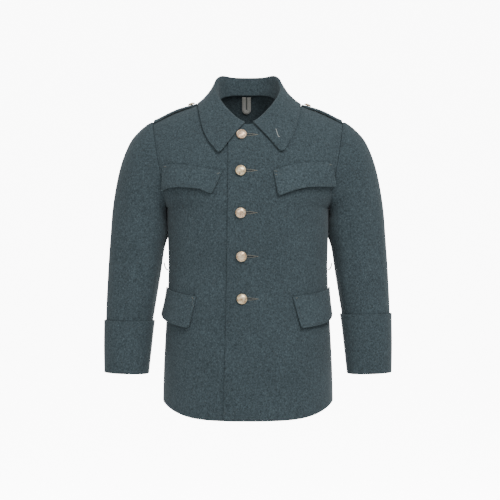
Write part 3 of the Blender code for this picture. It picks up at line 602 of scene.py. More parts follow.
def cut_size(grid):
    """The width, length and area of the cloth that the grid was cut from."""
    wide = float(arc(grid, 1)[:, -1].max())
    long = float(arc(grid, 0)[-1].max())
    a, b = grid[1:, 1:] - grid[:-1, :-1], grid[1:, :-1] - grid[:-1, 1:]
    area = float(np.linalg.norm(np.cross(a, b), axis=-1).sum() / 2)
    return (wide, long), min(area, wide * long)


def declare(grid):
    flat, area = cut_size(grid)


# Materials


class Nodes:
    """Short names for the nodes of one material."""

    def __init__(self, name):
        self.material = bpy.data.materials.new(name)
        self.material.use_nodes = True
        self.tree = self.material.node_tree
        self.shader = self.tree.nodes["Principled BSDF"]
        self.place = self.tree.nodes.new("ShaderNodeTexCoord").outputs["Object"]

    def link(self, source, target):
        self.tree.links.new(source, target)

    def stretched(self, scale):
        node = self.tree.nodes.new("ShaderNodeMapping")
        node.inputs["Scale"].default_value = scale
        self.link(self.place, node.inputs["Vector"])
        return node.outputs["Vector"]

    def noise(self, scale, detail=3.0, rough=0.6, vector=None):
        node = self.tree.nodes.new("ShaderNodeTexNoise")
        node.inputs["Scale"].default_value = scale
        node.inputs["Detail"].default_value = detail
        node.inputs["Roughness"].default_value = rough
        self.link(vector or self.place, node.inputs["Vector"])
        return node.outputs["Fac"]

    def ramp(self, value, *stops):
        node = self.tree.nodes.new("ShaderNodeValToRGB")
        ramp = node.color_ramp
        while len(ramp.elements) < len(stops):
            ramp.elements.new(0.5)
        for element, (at, colour) in zip(ramp.elements, stops):
            element.position = at
            element.color = (*colour, 1.0)
        self.link(value, node.inputs["Fac"])
        return node.outputs["Color"]

    def mix(self, kind, share, a, b):
        node = self.tree.nodes.new("ShaderNodeMix")
        node.data_type = "RGBA"
        node.blend_type = kind
        for socket, value in ((node.inputs[0], share), (node.inputs[6], a), (node.inputs[7], b)):
            if hasattr(value, "node"):
                self.link(value, socket)
            elif socket.type == "RGBA":
                socket.default_value = (*value, 1.0)
            else:
                socket.default_value = value
        return node.outputs[2]

    def sum(self, *weighted):
        total = None
        for value, weight in weighted:
            node = self.tree.nodes.new("ShaderNodeMath")
            node.operation = "MULTIPLY_ADD"
            self.link(value, node.inputs[0])
            node.inputs[1].default_value = weight
            if total is None:
                node.inputs[2].default_value = 0.0
            else:
                self.link(total, node.inputs[2])
            total = node.outputs[0]
        return total

    def bump(self, height, strength, distance):
        node = self.tree.nodes.new("ShaderNodeBump")
        node.inputs["Strength"].default_value = strength
        node.inputs["Distance"].default_value = distance
        self.link(height, node.inputs["Height"])
        self.link(node.outputs["Normal"], self.shader.inputs["Normal"])

    def set(self, **values):
        for name, value in values.items():
            self.shader.inputs[name.replace("_", " ").title().replace("Ior", "IOR")].default_value = value


def grey(v):
    return (v, v, v)


def wool_material(name, tone, tint=(1.0, 1.0, 1.0)):
    """Thick felted wool: mixed dark, blue-green and pale fibres under a short nap."""
    n = Nodes(name)
    base = [0.0400 * tone * tint[0], 0.0570 * tone * tint[1], 0.0650 * tone * tint[2]]
    dark = [0.55 * v for v in base]
    pale = [1.55 * v + 0.004 for v in base]
    upright = n.stretched((1.0, 1.0, 0.55))
    fibres = n.noise(620.0, 5.0, 0.72, upright)
    colour = n.ramp(fibres, (0.30, dark), (0.50, base), (0.72, pale))
    mottle = n.ramp(n.noise(285.0, 4.0, 0.66), (0.33, grey(0.62)), (0.67, grey(1.40)))
    colour = n.mix("MULTIPLY", 1.0, colour, mottle)
    cloud = n.ramp(n.noise(16.0, 2.0, 0.5), (0.30, grey(0.94)), (0.70, grey(1.06)))
    colour = n.mix("MULTIPLY", 1.0, colour, cloud)
    warm = n.ramp(n.noise(240.0, 3.0, 0.6), (0.58, grey(0.0)), (0.74, grey(1.0)))
    colour = n.mix("MIX", n.mix("MULTIPLY", 1.0, warm, grey(0.22)), colour, (0.070, 0.070, 0.062))
    hairs = n.noise(1500.0, 2.0, 0.5, n.stretched((1.0, 1.0, 0.25)))
    flecks = n.ramp(hairs, (0.66, grey(0.0)), (0.74, grey(1.0)))
    colour = n.mix("MIX", n.mix("MULTIPLY", 1.0, flecks, grey(0.35)), colour, (0.20, 0.235, 0.24))
    n.link(colour, n.shader.inputs["Base Color"])
    n.set(Roughness=0.95, Specular_IOR_Level=0.12, Sheen_Weight=0.16, Sheen_Roughness=0.5)
    n.shader.inputs["Sheen Tint"].default_value = (0.72, 0.82, 0.86, 1.0)
    height = n.sum((fibres, 0.7), (n.noise(1300.0, 3.0, 0.6), 0.35), (n.noise(150.0, 3.0, 0.6), 0.9))
    n.bump(height, 0.50, 0.0010)
    return n.material


def thread_material(name, colour, patch=0.25):
    n = Nodes(name)
    worn = n.ramp(n.noise(900.0, 3.0, 0.6), (0.30, [v * (1 - patch) for v in colour]), (0.70, colour))
    n.link(worn, n.shader.inputs["Base Color"])
    n.set(Roughness=0.75, Specular_IOR_Level=0.25, Sheen_Weight=0.2)
    n.bump(n.noise(4000.0, 2.0, 0.5), 0.4, 0.0002)
    return n.material


def button_material():
    """Pale gilt worn to copper, with dirt in the low places."""
    n = Nodes("worn_gilt")
    patina = n.noise(260.0, 5.0, 0.65)
    colour = n.ramp(patina, (0.36, (0.38, 0.25, 0.16)), (0.50, (0.82, 0.68, 0.52)), (0.64, (0.95, 0.89, 0.76)))
    plating = n.ramp(n.noise(13.0, 1.0, 0.5), (0.40, (1.0, 0.96, 0.80)), (0.60, (1.0, 0.88, 0.81)))
    colour = n.mix("MULTIPLY", 1.0, colour, plating)
    dirt = n.ramp(n.noise(820.0, 4.0, 0.7), (0.34, grey(0.30)), (0.50, grey(1.0)))
    colour = n.mix("MULTIPLY", 0.8, colour, dirt)
    n.link(colour, n.shader.inputs["Base Color"])
    rough = n.ramp(patina, (0.35, grey(0.52)), (0.65, grey(0.34)))
    n.link(rough, n.shader.inputs["Roughness"])
    n.set(Metallic=0.85)
    n.bump(n.sum((n.noise(520.0, 3.0, 0.6), 1.0), (n.noise(2400.0, 2.0, 0.5), 0.2)), 0.35, 0.0004)
    return n.material


def steel_material():
    n = Nodes("dark_steel")
    colour = n.ramp(n.noise(500.0, 4.0, 0.65), (0.35, (0.012, 0.011, 0.011)), (0.70, (0.060, 0.048, 0.040)))
    n.link(colour, n.shader.inputs["Base Color"])
    n.set(Metallic=0.7, Roughness=0.5)
    n.bump(n.noise(1800.0, 3.0, 0.6), 0.3, 0.0002)
    return n.material


def tape_material():
    """Grey-white twill tape with darker lines along it."""
    n = Nodes("striped_tape")
    across = n.tree.nodes.new("ShaderNodeAttribute")
    across.attribute_name = "across"
    pale, line = (0.42, 0.42, 0.39), (0.17, 0.17, 0.165)
    stops = ((0.0, pale), (0.16, pale), (0.20, line), (0.27, line), (0.31, pale), (0.46, pale), (0.50, line))
    stops += ((0.54, pale), (0.69, pale), (0.73, line), (0.80, line), (0.84, pale), (1.0, pale))
    colour = n.ramp(across.outputs["Fac"], *stops)
    soil = n.ramp(n.noise(420.0, 4.0, 0.6), (0.32, grey(0.72)), (0.62, grey(1.0)))
    n.link(n.mix("MULTIPLY", 1.0, colour, soil), n.shader.inputs["Base Color"])
    n.set(Roughness=0.9, Specular_IOR_Level=0.15, Sheen_Weight=0.1)
    n.bump(n.noise(2200.0, 3.0, 0.6), 0.5, 0.0004)
    return n.material


WOOL = wool_material("wool", 0.95)
# A lighter copy of the same wool, for the flaps and straps: painted light.
LIGHTER_WOOL = wool_material("wool_painted_lighter", 1.06)
WOOL_COLLAR = wool_material("wool_collar", 0.95)
PALE_THREAD = thread_material("pale_thread", (0.235, 0.225, 0.190))
GREY_THREAD = thread_material("grey_thread", (0.150, 0.160, 0.150))
TONE_THREAD = thread_material("tone_thread", (0.042, 0.058, 0.064))
# Near-black thread laid along each buttonhole's slit: painted shade of the opening.
SLIT_SHADE_PAINT = thread_material("painted_slit_shade", (0.012, 0.014, 0.015))
GILT = button_material()
STEEL = steel_material()
STRIPED = tape_material()


# Torso panels


def build_torso():
    for name, left in (("front_left", True), ("front_right", False)):
        edge = (lambda z: FRONT_EDGE("x", z)) if left else (lambda z: -UNDERLAP)
        points = torso_grid(False, edge)
        normals = body_normal(points, False)
        fold_at = points if left else mirrored(points)
        off = folds(fold_at, False) + (lap_raise(points[..., 0]) if left else 0)
        outer = points + normals * off[..., None]
        outer[:, -1, 1] -= SEAM_GAP / 2
        outer[-1, -OUTER_COLUMNS - 1 : -1, 1] -= SEAM_GAP / 2
        both = np.concatenate([outer, outer - normals * CLOTH], -1)
        both = round_corner(both, False, False, 0.007)
        outer, inner = both[..., :3], both[..., 3:]
        if not left:
            outer, inner = mirrored(outer), mirrored(inner)
        piece = slab(f"{name}_cloth", outer, inner, WOOL, name)
        declare(outer)
    outer = torso_grid(True)
    normals = body_normal(outer, True)
    outer = outer + normals * folds(outer, True)[..., None]
    shoulder = np.abs(outer[-1, :, 0]) >= NECK_HALF_WIDTH - 1e-6
    outer[:, (0, -1), 1] += SEAM_GAP / 2
    outer[-1, shoulder, 1] += SEAM_GAP / 2
    piece = slab("back_cloth", outer, outer - normals * CLOTH, WOOL, "back")
    declare(outer)


# Sleeves


def armhole_ring():
    w = np.concatenate([rise_rows()[::-1], [0.0]])
    z = UNDERARM + (TIP_HEIGHT - UNDERARM) * w
    x = np.where(w < 1, ARMHOLE("x", z), SHOULDER_TIP)
    x[-1] = TORSO("half_width", UNDERARM)
    front, back = body_point(x, z, False), body_point(x, z, True)
    front_normals, back_normals = body_normal(front, False), body_normal(back, True)
    ring = np.concatenate([front, back[-2:0:-1]])
    return ring, np.concatenate([front_normals, back_normals[-2:0:-1]])


ARMHOLE_POINTS, ARMHOLE_NORMALS = armhole_ring()
SLEEVE_TURNS = np.arange(2 * HIGH_ROWS) * 180.0 / HIGH_ROWS


def creases(turn, ring):
    moved = np.zeros(np.broadcast(turn, ring).shape)
    for row in SLEEVE_CREASES:
        crease = dict(zip(SLEEVE_CREASE_COLUMNS, row))
        at = crease["turn"] + crease["lean"] * (ring - crease["ring"])
        away = (turn - at + 180) % 360 - 180
        along = (ring - crease["ring"]) / crease["spread_rings"]
        moved += crease["depth"] * np.exp(-((away / crease["spread_turn"]) ** 2) - along**2)
    return moved


def rounded(angle, exponent):
    c, s = np.cos(np.radians(angle)), np.sin(np.radians(angle))
    return np.sign(c) * np.abs(c) ** (2 / exponent), np.sign(s) * np.abs(s) ** (2 / exponent)


def plain_armhole(across, forward):
    outer = np.array([SLEEVE("outer_x", 0), 0.0, SLEEVE("outer_z", 0)])
    inner = np.array([SLEEVE("inner_x", 0), 0.0, SLEEVE("inner_z", 0)])
    points = (outer + inner) / 2 + np.outer(across, (outer - inner) / 2)
    points[:, 1] -= forward * SLEEVE("half_depth", 0)
    return points


def sleeve_ring(ring):
    across, forward = rounded(SLEEVE_TURNS, SLEEVE_CORNER)
    outer = np.array([SLEEVE("outer_x", ring), 0.0, SLEEVE("outer_z", ring)])
    inner = np.array([SLEEVE("inner_x", ring), 0.0, SLEEVE("inner_z", ring)])
    half_depth = SLEEVE("half_depth", ring)
    crease = creases(SLEEVE_TURNS, np.full(SLEEVE_TURNS.shape, float(ring)))
    middle = (outer + inner) / 2 + np.array([0.0, SLEEVE("middle_y", ring), 0.0])
    points = middle + np.outer(across * (1 + crease / half_depth), (outer - inner) / 2)
    points[:, 1] -= forward * (half_depth + crease)
    keep = float(np.clip(SLEEVE("armhole", ring), 0, 1))
    return clear_of_side(points + keep * (ARMHOLE_POINTS - plain_armhole(across, forward)))


def clear_of_side(p):
    """p, moved off the torso's side where the sleeve would press into it below the underarm."""
    under = p[..., 2] < UNDERARM - SLEEVE_CLEAR_BELOW
    for back in (False, True):
        near = np.clip(SLEEVE_CLEAR - off_body(p, back), 0, None)[..., None] * body_normal(p, back)
        here = under & ((p[..., 1] > 0) == back)
        p = np.where(here[..., None], p + near, p)
    return p


def grid_normals(points, tube=False):
    along = np.gradient(points, axis=0)
    if tube:
        across = np.roll(points, -1, axis=1) - np.roll(points, 1, axis=1)
    else:
        across = np.gradient(points, axis=1)
    return unit(np.cross(across, along))


def outward_normals(tube):
    normals = grid_normals(tube, True)
    away = tube - tube.mean(1, keepdims=True)
    return normals if np.sum(normals * away) > 0 else -normals


def build_sleeves():
    rings = np.linspace(0, LAST_RING, int(LAST_RING * RINGS_PER_UNIT) + 1)
    outer = np.array([sleeve_ring(ring) for ring in rings])
    normals = outward_normals(outer)
    onward = unit(outer[1] - outer[0])
    apart = np.clip(np.sum((normals[0] - ARMHOLE_NORMALS) * onward, -1, keepdims=True), 0, None)
    normals[0] = unit(normals[0] - apart * onward)
    outer[0] += onward * SEAM_GAP
    inner = outer - normals * CLOTH
    size = len(SLEEVE_TURNS)
    front, back = round(FRONT_SLEEVE_SEAM / 360 * size), round(BACK_SLEEVE_SEAM / 360 * size)
    pieces = {
        "sleeve_under": list(range(front, back + 1)),
        "sleeve_top": list(range(back, size)) + list(range(front + 1)),
    }
    for piece, columns in pieces.items():
        over, under = outer[:, columns].copy(), inner[:, columns].copy()
        for grid in (over, under):
            grid[:, 0] += unit(grid[:, 1] - grid[:, 0]) * SEAM_GAP / 2
            grid[:, -1] += unit(grid[:, -2] - grid[:, -1]) * SEAM_GAP / 2
        for side, flip in (("left", 1.0), ("right", -1.0)):
            way = np.array([flip, 1.0, 1.0])
            node = f"{piece}_{side}"
            made = slab(f"{node}_cloth", over * way, under * way, WOOL, node)
            declare(over)


def build_cuffs():
    for side, top in CUFF_TOP.items():
        rings = np.linspace(CUFF.at[-1], top, CUFF_ROWS)
        sleeve = np.array([sleeve_ring(ring) for ring in rings])
        normals = outward_normals(sleeve)
        under = sleeve + normals * CUFF("off", rings)[:, None, None]
        over = under + normals * CLOTH
        if side == "right":
            under, over = mirrored(under), mirrored(over)
        piece = slab(f"cuff_{side}_cloth", over, under, WOOL, f"cuff_{side}", tube=True)
        closed = np.concatenate([over, over[:, :1]], 1)
        declare(closed)


# Collar


def neck_ring(turn):
    angle = np.radians(turn)
    x = NECK_HALF_WIDTH * np.sin(angle)
    front, behind = np.cos(angle) >= 0, np.cos(angle) < 0
    y = -np.cos(angle) * np.where(front, NECK_FRONT, NECK_BACK)
    z = np.where(behind, height_at(x, y, True), height_at(x, y, False))
    point = np.stack([x, y, z], -1)
    normal = np.where(behind[:, None], body_normal(point, True), body_normal(point, False))
    away = np.stack([np.sin(angle), -np.cos(angle), np.zeros_like(angle)], -1)
    return point, away, normal


def settled(p, off):
    for _ in range(6):
        for back in (False, True):
            wanted = off if back else off + lap_step(p[..., 0])
            moved = p + (wanted - off_body(p, back))[..., None] * body_normal(p, back)
            here = (p[..., 1] > 0) == back
            p = np.where(here[..., None], moved, p)
    return p


def pushed_off(p, least):
    for _ in range(5):
        for back in (False, True):
            wanted = least if back else least + lap_step(p[..., 0])
            near = np.clip(wanted - off_body(p, back), 0, None)[..., None] * body_normal(p, back)
            here = (p[..., 1] > 0) == back
            p = np.where(here[..., None], p + near, p)
    return p


def collar_grid():
    t = np.linspace(0, 1, COLLAR_COLUMNS)
    t = t - COLLAR_END_DENSITY * np.sin(2 * np.pi * t) / (2 * np.pi)
    turn = COLLAR_LEFT_TURN + (360 - COLLAR_RIGHT_TURN - COLLAR_LEFT_TURN) * t
    half_turn = np.minimum(turn, 360 - turn)
    left = turn <= 180
    end = np.where(left, COLLAR_LEFT_TURN, COLLAR_RIGHT_TURN)
    place = 180 * (half_turn - end) / (180 - end)
    neck, away, normal = neck_ring(turn)
    flat_normal = np.clip(np.sum(normal * away, -1), 0, 1)
    inset = CLOTH * flat_normal + COLLAR_INSET + COLLAR_CLOTH / 2
    foot = neck - away * inset[:, None] - np.array([0, 0, COLLAR_TUCK])
    roll = COLLAR("roll", place)[:, None]
    stand = COLLAR("stand", place)[:, None] - COLLAR_CLOTH / 2 - roll
    up = np.array([0.0, 0.0, 1.0])
    top = foot + up * (stand + COLLAR_TUCK) + away * COLLAR("lean", place)[:, None]
    rows = [foot + (top - foot) * w for w in np.linspace(0, 1, COLLAR_STAND_ROWS)]
    centre = top + away * roll
    for a in np.radians(np.linspace(160, 20, COLLAR_ROLL_ROWS)):
        rows.append(centre + away * roll * math.cos(a) + up * roll * math.sin(a))
    edge_x = np.where(left, COLLAR("left_x", place), -COLLAR("right_x", place))
    off = COLLAR("off", place)
    edge_z = np.where(left, COLLAR("left_z", place), COLLAR("right_z", place))
    edge = settled(np.stack([edge_x, COLLAR("edge_y", place), edge_z], -1), off)
    start = rows[-1]
    for w in 1 - (1 - np.linspace(0, 1, COLLAR_FALL_ROWS + 1)[1:]) ** 1.35:
        line = start * (1 - w) + edge * w
        line[:, 2] -= COLLAR("sag", place) * 4 * w * (1 - w)
        wave = 0.0008 * np.sin(place / 9.0 + 1.3 * left) * np.sin(math.pi * w) * (place < 70)
        line[:, 1] -= wave
        rows.append(pushed_off(line, off))
    return np.array(rows)


def build_collar():
    middle = collar_grid()
    normals = grid_normals(middle)
    both = np.concatenate([middle + normals * COLLAR_CLOTH / 2, middle - normals * COLLAR_CLOTH / 2], -1)
    both = round_corner(both, True, False, COLLAR_TIP_ROUND)
    both = round_corner(both, True, True, COLLAR_TIP_ROUND)
    over, under = both[..., :3], both[..., 3:]
    outward = off_body(over[-1, 40:41], False) > off_body(under[-1, 40:41], False)
    if not outward[0]:
        over, under = under, over
    piece = slab("collar_cloth", over, under, WOOL_COLLAR, "collar")
    declare((over + under) / 2)
    return over, under


# Flaps and straps


def flap_slab(name, node, under, thickness, material, corners):
    normals = grid_normals(under)
    if np.sum(normals[..., 1]) > 0:
        normals = -normals
    both = np.concatenate([under + normals * thickness, under], -1)
    for last_column in corners:
        both = round_corner(both, True, last_column, FLAP_CORNER_ROUND)
    over, under = both[..., :3], both[..., 3:]
    piece = slab(name, over, under, material, node)
    declare(over)
    return over


def build_chest_flaps():
    along = np.linspace(0, 1, FLAP_COLUMNS + 1)[None, :]
    down = np.linspace(0, 1, FLAP_ROWS + 1)[:, None]
    made = {}
    for side, flip in (("left", 1.0), ("right", -1.0)):
        flap = CHEST_FLAPS[side]
        x = flap("top_x", along) * (1 - down) + flap("bottom_x", along) * down
        z = flap("top_z", along) * (1 - down) + flap("bottom_z", along) * down
        lift = flap("lift", along) * down**1.5
        raise_here = lap_raise(x) if side == "left" else 0.0
        under = body_surface(x * flip, z, False, LAY_GAP + lift + raise_here)
        node = f"chest_flap_{side}"
        made[node] = flap_slab(
            f"{node}_cloth", node, under, DOUBLE_CLOTH, LIGHTER_WOOL, (False, True)
        )
    return made


def side_point(turn, z, off):
    x = TORSO("half_width", z) * np.abs(share(turn))
    return body_point(x, z, False) + body_normal(body_point(x, z, False), False) * off[..., None]


def build_hip_flaps():
    along = np.linspace(0, 1, FLAP_COLUMNS + 1)[None, :]
    down = np.linspace(0, 1, FLAP_ROWS + 1)[:, None]
    turn = HIP_FLAP("top_turn", along) * (1 - down) + HIP_FLAP("bottom_turn", along) * down
    z = HIP_FLAP("top_z", along) * (1 - down) + HIP_FLAP("bottom_z", along) * down
    made = {}
    for side, flip in (("left", 1.0), ("right", -1.0)):
        base = LAY_GAP + HIP_FLAP(f"lift_{side}", along) * down**1.5
        top_forward, bottom_forward = HIP_FLAP_FORWARD[side]
        forward = top_forward * (1 - down) + bottom_forward * down
        under = side_point(turn - forward * along**2, z, base) * np.array([flip, 1.0, 1.0])
        node = f"hip_flap_{side}"
        made[node] = flap_slab(
            f"{node}_cloth", node, under, DOUBLE_CLOTH, LIGHTER_WOOL, (False, True)
        )
    return made


def shoulder_point(x, y, off):
    back = y > 0
    z = np.where(back, height_at(x, y, True), height_at(x, y, False))
    p = np.stack([x, y, z], -1)
    normal = np.where(back[..., None], body_normal(p, True), body_normal(p, False))
    return p + normal * np.asarray(off)[..., None]


def build_straps():
    made = {}
    for side, flip in (("left", 1.0), ("right", -1.0)):
        start = float(COLLAR(f"{side}_x", 90.0)) + STRAP_CLEAR
        along = np.linspace(0, 1, STRAP_COLUMNS + 1)[None, :] ** 1.3
        across = np.linspace(-1, 1, STRAP_ROWS + 1)[:, None]
        x = start + (STRAP_OUTER - start) * along + 0 * across
        near_tip = np.clip(1 - (x - start) / STRAP_TIP_ROUND, 0, 1)
        width = STRAP_HALF_WIDTH * np.sqrt(1 - near_tip**2 * 0.75)
        y = across * width + 1e-6
        base = LAY_GAP + STRAP_BOW * np.sin(math.pi * np.clip(along, 0, 1)) ** 2 + 0 * x
        way = np.array([flip, 1.0, 1.0])
        under = shoulder_point(x, y, base) * way
        over = shoulder_point(x, y, base + DOUBLE_CLOTH) * way
        node = f"shoulder_strap_{side}"
        piece = slab(f"{node}_cloth", over, under, LIGHTER_WOOL, node)
        declare(over)
        made[node] = over
        at = np.array([start + STRAP_BUTTON_INSET, 1e-6])
        bow = STRAP_BOW * math.sin(math.pi * STRAP_BUTTON_INSET / (STRAP_OUTER - start)) ** 2
        seat = shoulder_point(at[:1], at[1:], LAY_GAP + bow + DOUBLE_CLOTH + BUTTON_SEAT)[0]
        up = body_normal(seat, True)
        button(f"strap_button_{side}", seat * way, up * way, STRAP_BUTTON_RADIUS, 40)
    return made


# Buttons: the outline from the middle of the dome to the foot of the shank, in shares of the radius
BUTTON_PROFILE = (
    (0.000, 0.620),
    (0.100, 0.618),
    (0.220, 0.609),
    (0.360, 0.588),
    (0.500, 0.552),
    (0.620, 0.506),
    (0.720, 0.452),
    (0.790, 0.400),
    (0.815, 0.376),
    (0.845, 0.392),
    (0.880, 0.386),
    (0.920, 0.345),
    (0.965, 0.270),
    (0.995, 0.200),
    (1.000, 0.165),
    (0.985, 0.135),
    (0.930, 0.118),
    (0.300, 0.110),
    (0.220, 0.090),
    (0.220, 0.000),
    (0.000, 0.000),
)


def button(name, place, facing, radius, steps):
    shape = bmesh.new()
    rings = []
    for r, h in BUTTON_PROFILE:
        if r == 0:
            rings.append([shape.verts.new((0, 0, h * radius))])
            continue
        turns = [2 * math.pi * k / steps for k in range(steps)]
        rings.append([shape.verts.new((r * radius * math.cos(t), r * radius * math.sin(t), h * radius)) for t in turns])
    for a, b in zip(rings, rings[1:]):
        for k in range(steps):
            n = (k + 1) % steps
            if len(a) == 1:
                shape.faces.new((a[0], b[k], b[n]))
            elif len(b) == 1:
                shape.faces.new((a[k], b[0], a[n]))
            else:
                shape.faces.new((a[k], b[k], b[n], a[n]))
    bmesh.ops.recalc_face_normals(shape, faces=shape.faces)
    turn = Vector(facing).to_track_quat("Z", "Y").to_matrix().to_4x4()
    turn.translation = Vector(place)
    shape.transform(turn)
    piece = frame_piece(f"{name}_gilt", shape, GILT, name)
    piece.data.set_sharp_from_angle(angle=math.radians(50))
    return piece


def build_buttons():
    for i, row in enumerate(BUTTONS, 1):
        place = dict(zip(BUTTON_COLUMNS, row))
        x, height = np.array([place["x"]]), np.array([place["height"]])
        normal = body_normal(body_point(x, height, False), False)[0]
        seat = body_surface(x, height, False, lap_raise(x) + BUTTON_SEAT)[0]
        button(f"button_{i}", seat, normal, BUTTON_RADIUS, 56)


# Threads


def tube_into(shape, points, radius, sides=6):
    """A closed round thread along the points, added to the shape."""
    points = np.asarray(points, float)
    along = unit(np.gradient(points, axis=0))
    helper = np.array([0.0, 0.0, 1.0]) if abs(along[0][2]) < 0.9 else np.array([1.0, 0.0, 0.0])
    rings = []
    for p, d in zip(points, along):
        a = unit(np.cross(d, helper))
        b = np.cross(d, a)
        turns = [2 * math.pi * k / sides for k in range(sides)]
        rings.append([shape.verts.new(p + radius * (a * math.cos(t) + b * math.sin(t))) for t in turns])
    for low, high in zip(rings, rings[1:]):
        for k in range(sides):
            n = (k + 1) % sides
            shape.faces.new((low[k], low[n], high[n], high[k]))
    shape.faces.new(rings[0][::-1])
    shape.faces.new(rings[-1])


def thread_piece(name, shape, material):
    bmesh.ops.recalc_face_normals(shape, faces=shape.faces)
    piece = frame_piece(name, shape, material)
    return piece


def stitches_into(shape, path, normals, length=0.0030, gap=0.0013, radius=0.00028, sink=0.0001):
    """A running line of stitches along a path on the cloth."""
    reach = arc(path[None], 1)[0]
    starts = np.arange(gap, reach[-1] - length, length + gap)
    for start in starts:
        at = start + length * np.array([0.0, 0.22, 0.78, 1.0])
        p = np.stack([np.interp(at, reach, path[:, i]) for i in range(3)], -1)
        n = unit(np.stack([np.interp(at, reach, normals[:, i]) for i in range(3)], -1))
        lift = np.array([-0.6, 0.55, 0.55, -0.6])[:, None] * radius - sink
        tube_into(shape, p + n * lift, radius, 5)


def line_on(grid, rows, columns):
    """The path over a grid through fractional rows and columns, and the normals there."""
    normals = grid_normals(grid)
    path = sample(grid, rows, columns)
    return path, unit(sample(normals, rows, columns))


def outward(path, normals, centre):
    return normals if np.sum(normals * (path - centre)) > 0 else -normals


BODY_CENTRE = np.array([0.0, 0.0, -0.3])


def inset_line(grid, inset, sides):
    """A path at an inset from some sides of a grid: "first", "last", "start" and "end"."""
    rows, columns = grid.shape[:2]
    down, over = arc(grid, 0), arc(grid, 1)
    middle_row, middle_column = rows // 2, columns // 2
    top = np.interp(inset, down[:, middle_column], np.arange(rows))
    bottom = np.interp(down[-1, middle_column] - inset, down[:, middle_column], np.arange(rows))
    start = np.interp(inset, over[middle_row], np.arange(columns))
    end = np.interp(over[middle_row, -1] - inset, over[middle_row], np.arange(columns))
    legs = {
        "start": (np.linspace(top, bottom, 60), np.full(60, start)),
        "last": (np.full(200, bottom), np.linspace(start, end, 200)),
        "end": (np.linspace(bottom, top, 60), np.full(60, end)),
        "first": (np.full(200, top), np.linspace(end, start, 200)),
    }
    chosen = [legs[s] for s in sides]
    return np.concatenate([c[0] for c in chosen]), np.concatenate([c[1] for c in chosen])


def build_topstitch(flaps, straps, collar):
    shape = bmesh.new()
    for grid in flaps.values():
        path, normals = line_on(grid, *inset_line(grid, 0.0055, ("first",)))
        stitches_into(shape, path, outward(path, normals, BODY_CENTRE))
        path, normals = line_on(grid, *inset_line(grid, 0.0050, ("start", "last", "end")))
        stitches_into(shape, path, outward(path, normals, BODY_CENTRE))
    for grid in straps.values():
        path, normals = line_on(grid, *inset_line(grid, 0.0045, ("last",)))
        stitches_into(shape, path, outward(path, normals, BODY_CENTRE))
        path, normals = line_on(grid, *inset_line(grid, 0.0045, ("first",)))
        stitches_into(shape, path, outward(path, normals, BODY_CENTRE))
    over = collar
    fall = over[COLLAR_STAND_ROWS + COLLAR_ROLL_ROWS :]
    path, normals = line_on(fall, *inset_line(fall, 0.0055, ("start", "last", "end")))
    stitches_into(shape, path, outward(path, normals, BODY_CENTRE))
    thread_piece("topstitching", shape, TONE_THREAD)


def on_front(x, z, off=0.0):
    """Points on the jacket's front at x and z, over the lap, and the normals there."""
    x, z = np.asarray(x, float), np.asarray(z, float)
    over_lap = x > FRONT_EDGE("x", z)
    p = body_point(x, z, False)
    normal = body_normal(p, False)
    up = folds(p, False) + np.where(over_lap, lap_raise(x), 0.0) + off
    return p + normal * up[..., None], normal


HOLE_REACH = 0.0328
HOLE_HALF = 0.0024
HOLE_THREAD = 0.0011
HOLE_STEP = 0.00085


def build_buttonholes():
    threads, shade_tubes = bmesh.new(), bmesh.new()
    for row in BUTTONS:
        place = dict(zip(BUTTON_COLUMNS, row))
        x0, z0 = place["x"] + 0.0070, place["height"]
        x1 = place["x"] + HOLE_REACH - 0.0010
        for side in (1, -1):
            for k, x in enumerate(np.arange(x0, x1, HOLE_STEP)):
                far = 0.0006 + HOLE_HALF * (1 - ((x - x0) / (x1 - x0)) ** 2.2)
                near = max(0.0, far - HOLE_THREAD)
                zs = z0 + side * np.array([near, (near + far) / 2, far])
                p, n = on_front(np.full(3, x) + 0.0001 * ((k * 7) % 3 - 1), zs)
                tube_into(threads, p + n * np.array([0.0002, 0.00055, 0.0])[:, None], 0.00036, 5)
        p, n = on_front(np.linspace(x1 - 0.0006, x1 + 0.0026, 6), np.full(6, z0))
        tube_into(threads, p + n * 0.0003, 0.00045, 5)
        # A near-black tube along the slit: painted shade in the buttonhole's opening.
        p, n = on_front(np.linspace(x0, x1, 14), np.full(14, z0))
        tube_into(shade_tubes, p + n * 0.0001, 0.00042, 5)
    thread_piece("buttonhole_stitches", threads, PALE_THREAD)
    thread_piece("buttonhole_painted_shade", shade_tubes, SLIT_SHADE_PAINT)


def grid_point(grid, row_share, column_share, off):
    r = np.array(row_share * (grid.shape[0] - 1))
    c = np.array(column_share * (grid.shape[1] - 1))
    p = sample(grid, r, c)
    n = unit(sample(grid_normals(grid), r, c))
    n = outward(p, n, BODY_CENTRE)
    return p + n * off, n


def bartack_into(shape, grid, row_share, column_share, lean, size, threads=3):
    """A short bar of threads side by side on a flap."""
    p, n = grid_point(grid, row_share, column_share, 0.0004)
    side = unit(np.cross(n, np.array([0.0, 0.0, 1.0])))
    up = np.cross(side, n)
    a = math.radians(lean)
    way = side * math.cos(a) + up * math.sin(a)
    across = np.cross(way, n)
    for k in range(threads):
        middle = p + across * (k - (threads - 1) / 2) * 0.00055
        ends = np.linspace(-0.5, 0.5, 5)[:, None] * way * size * (1 - 0.12 * (k % 2))
        bow = np.array([-0.0004, 0.0002, 0.0003, 0.0002, -0.0004])[:, None] * n
        tube_into(shape, middle + ends + bow, 0.00028, 5)


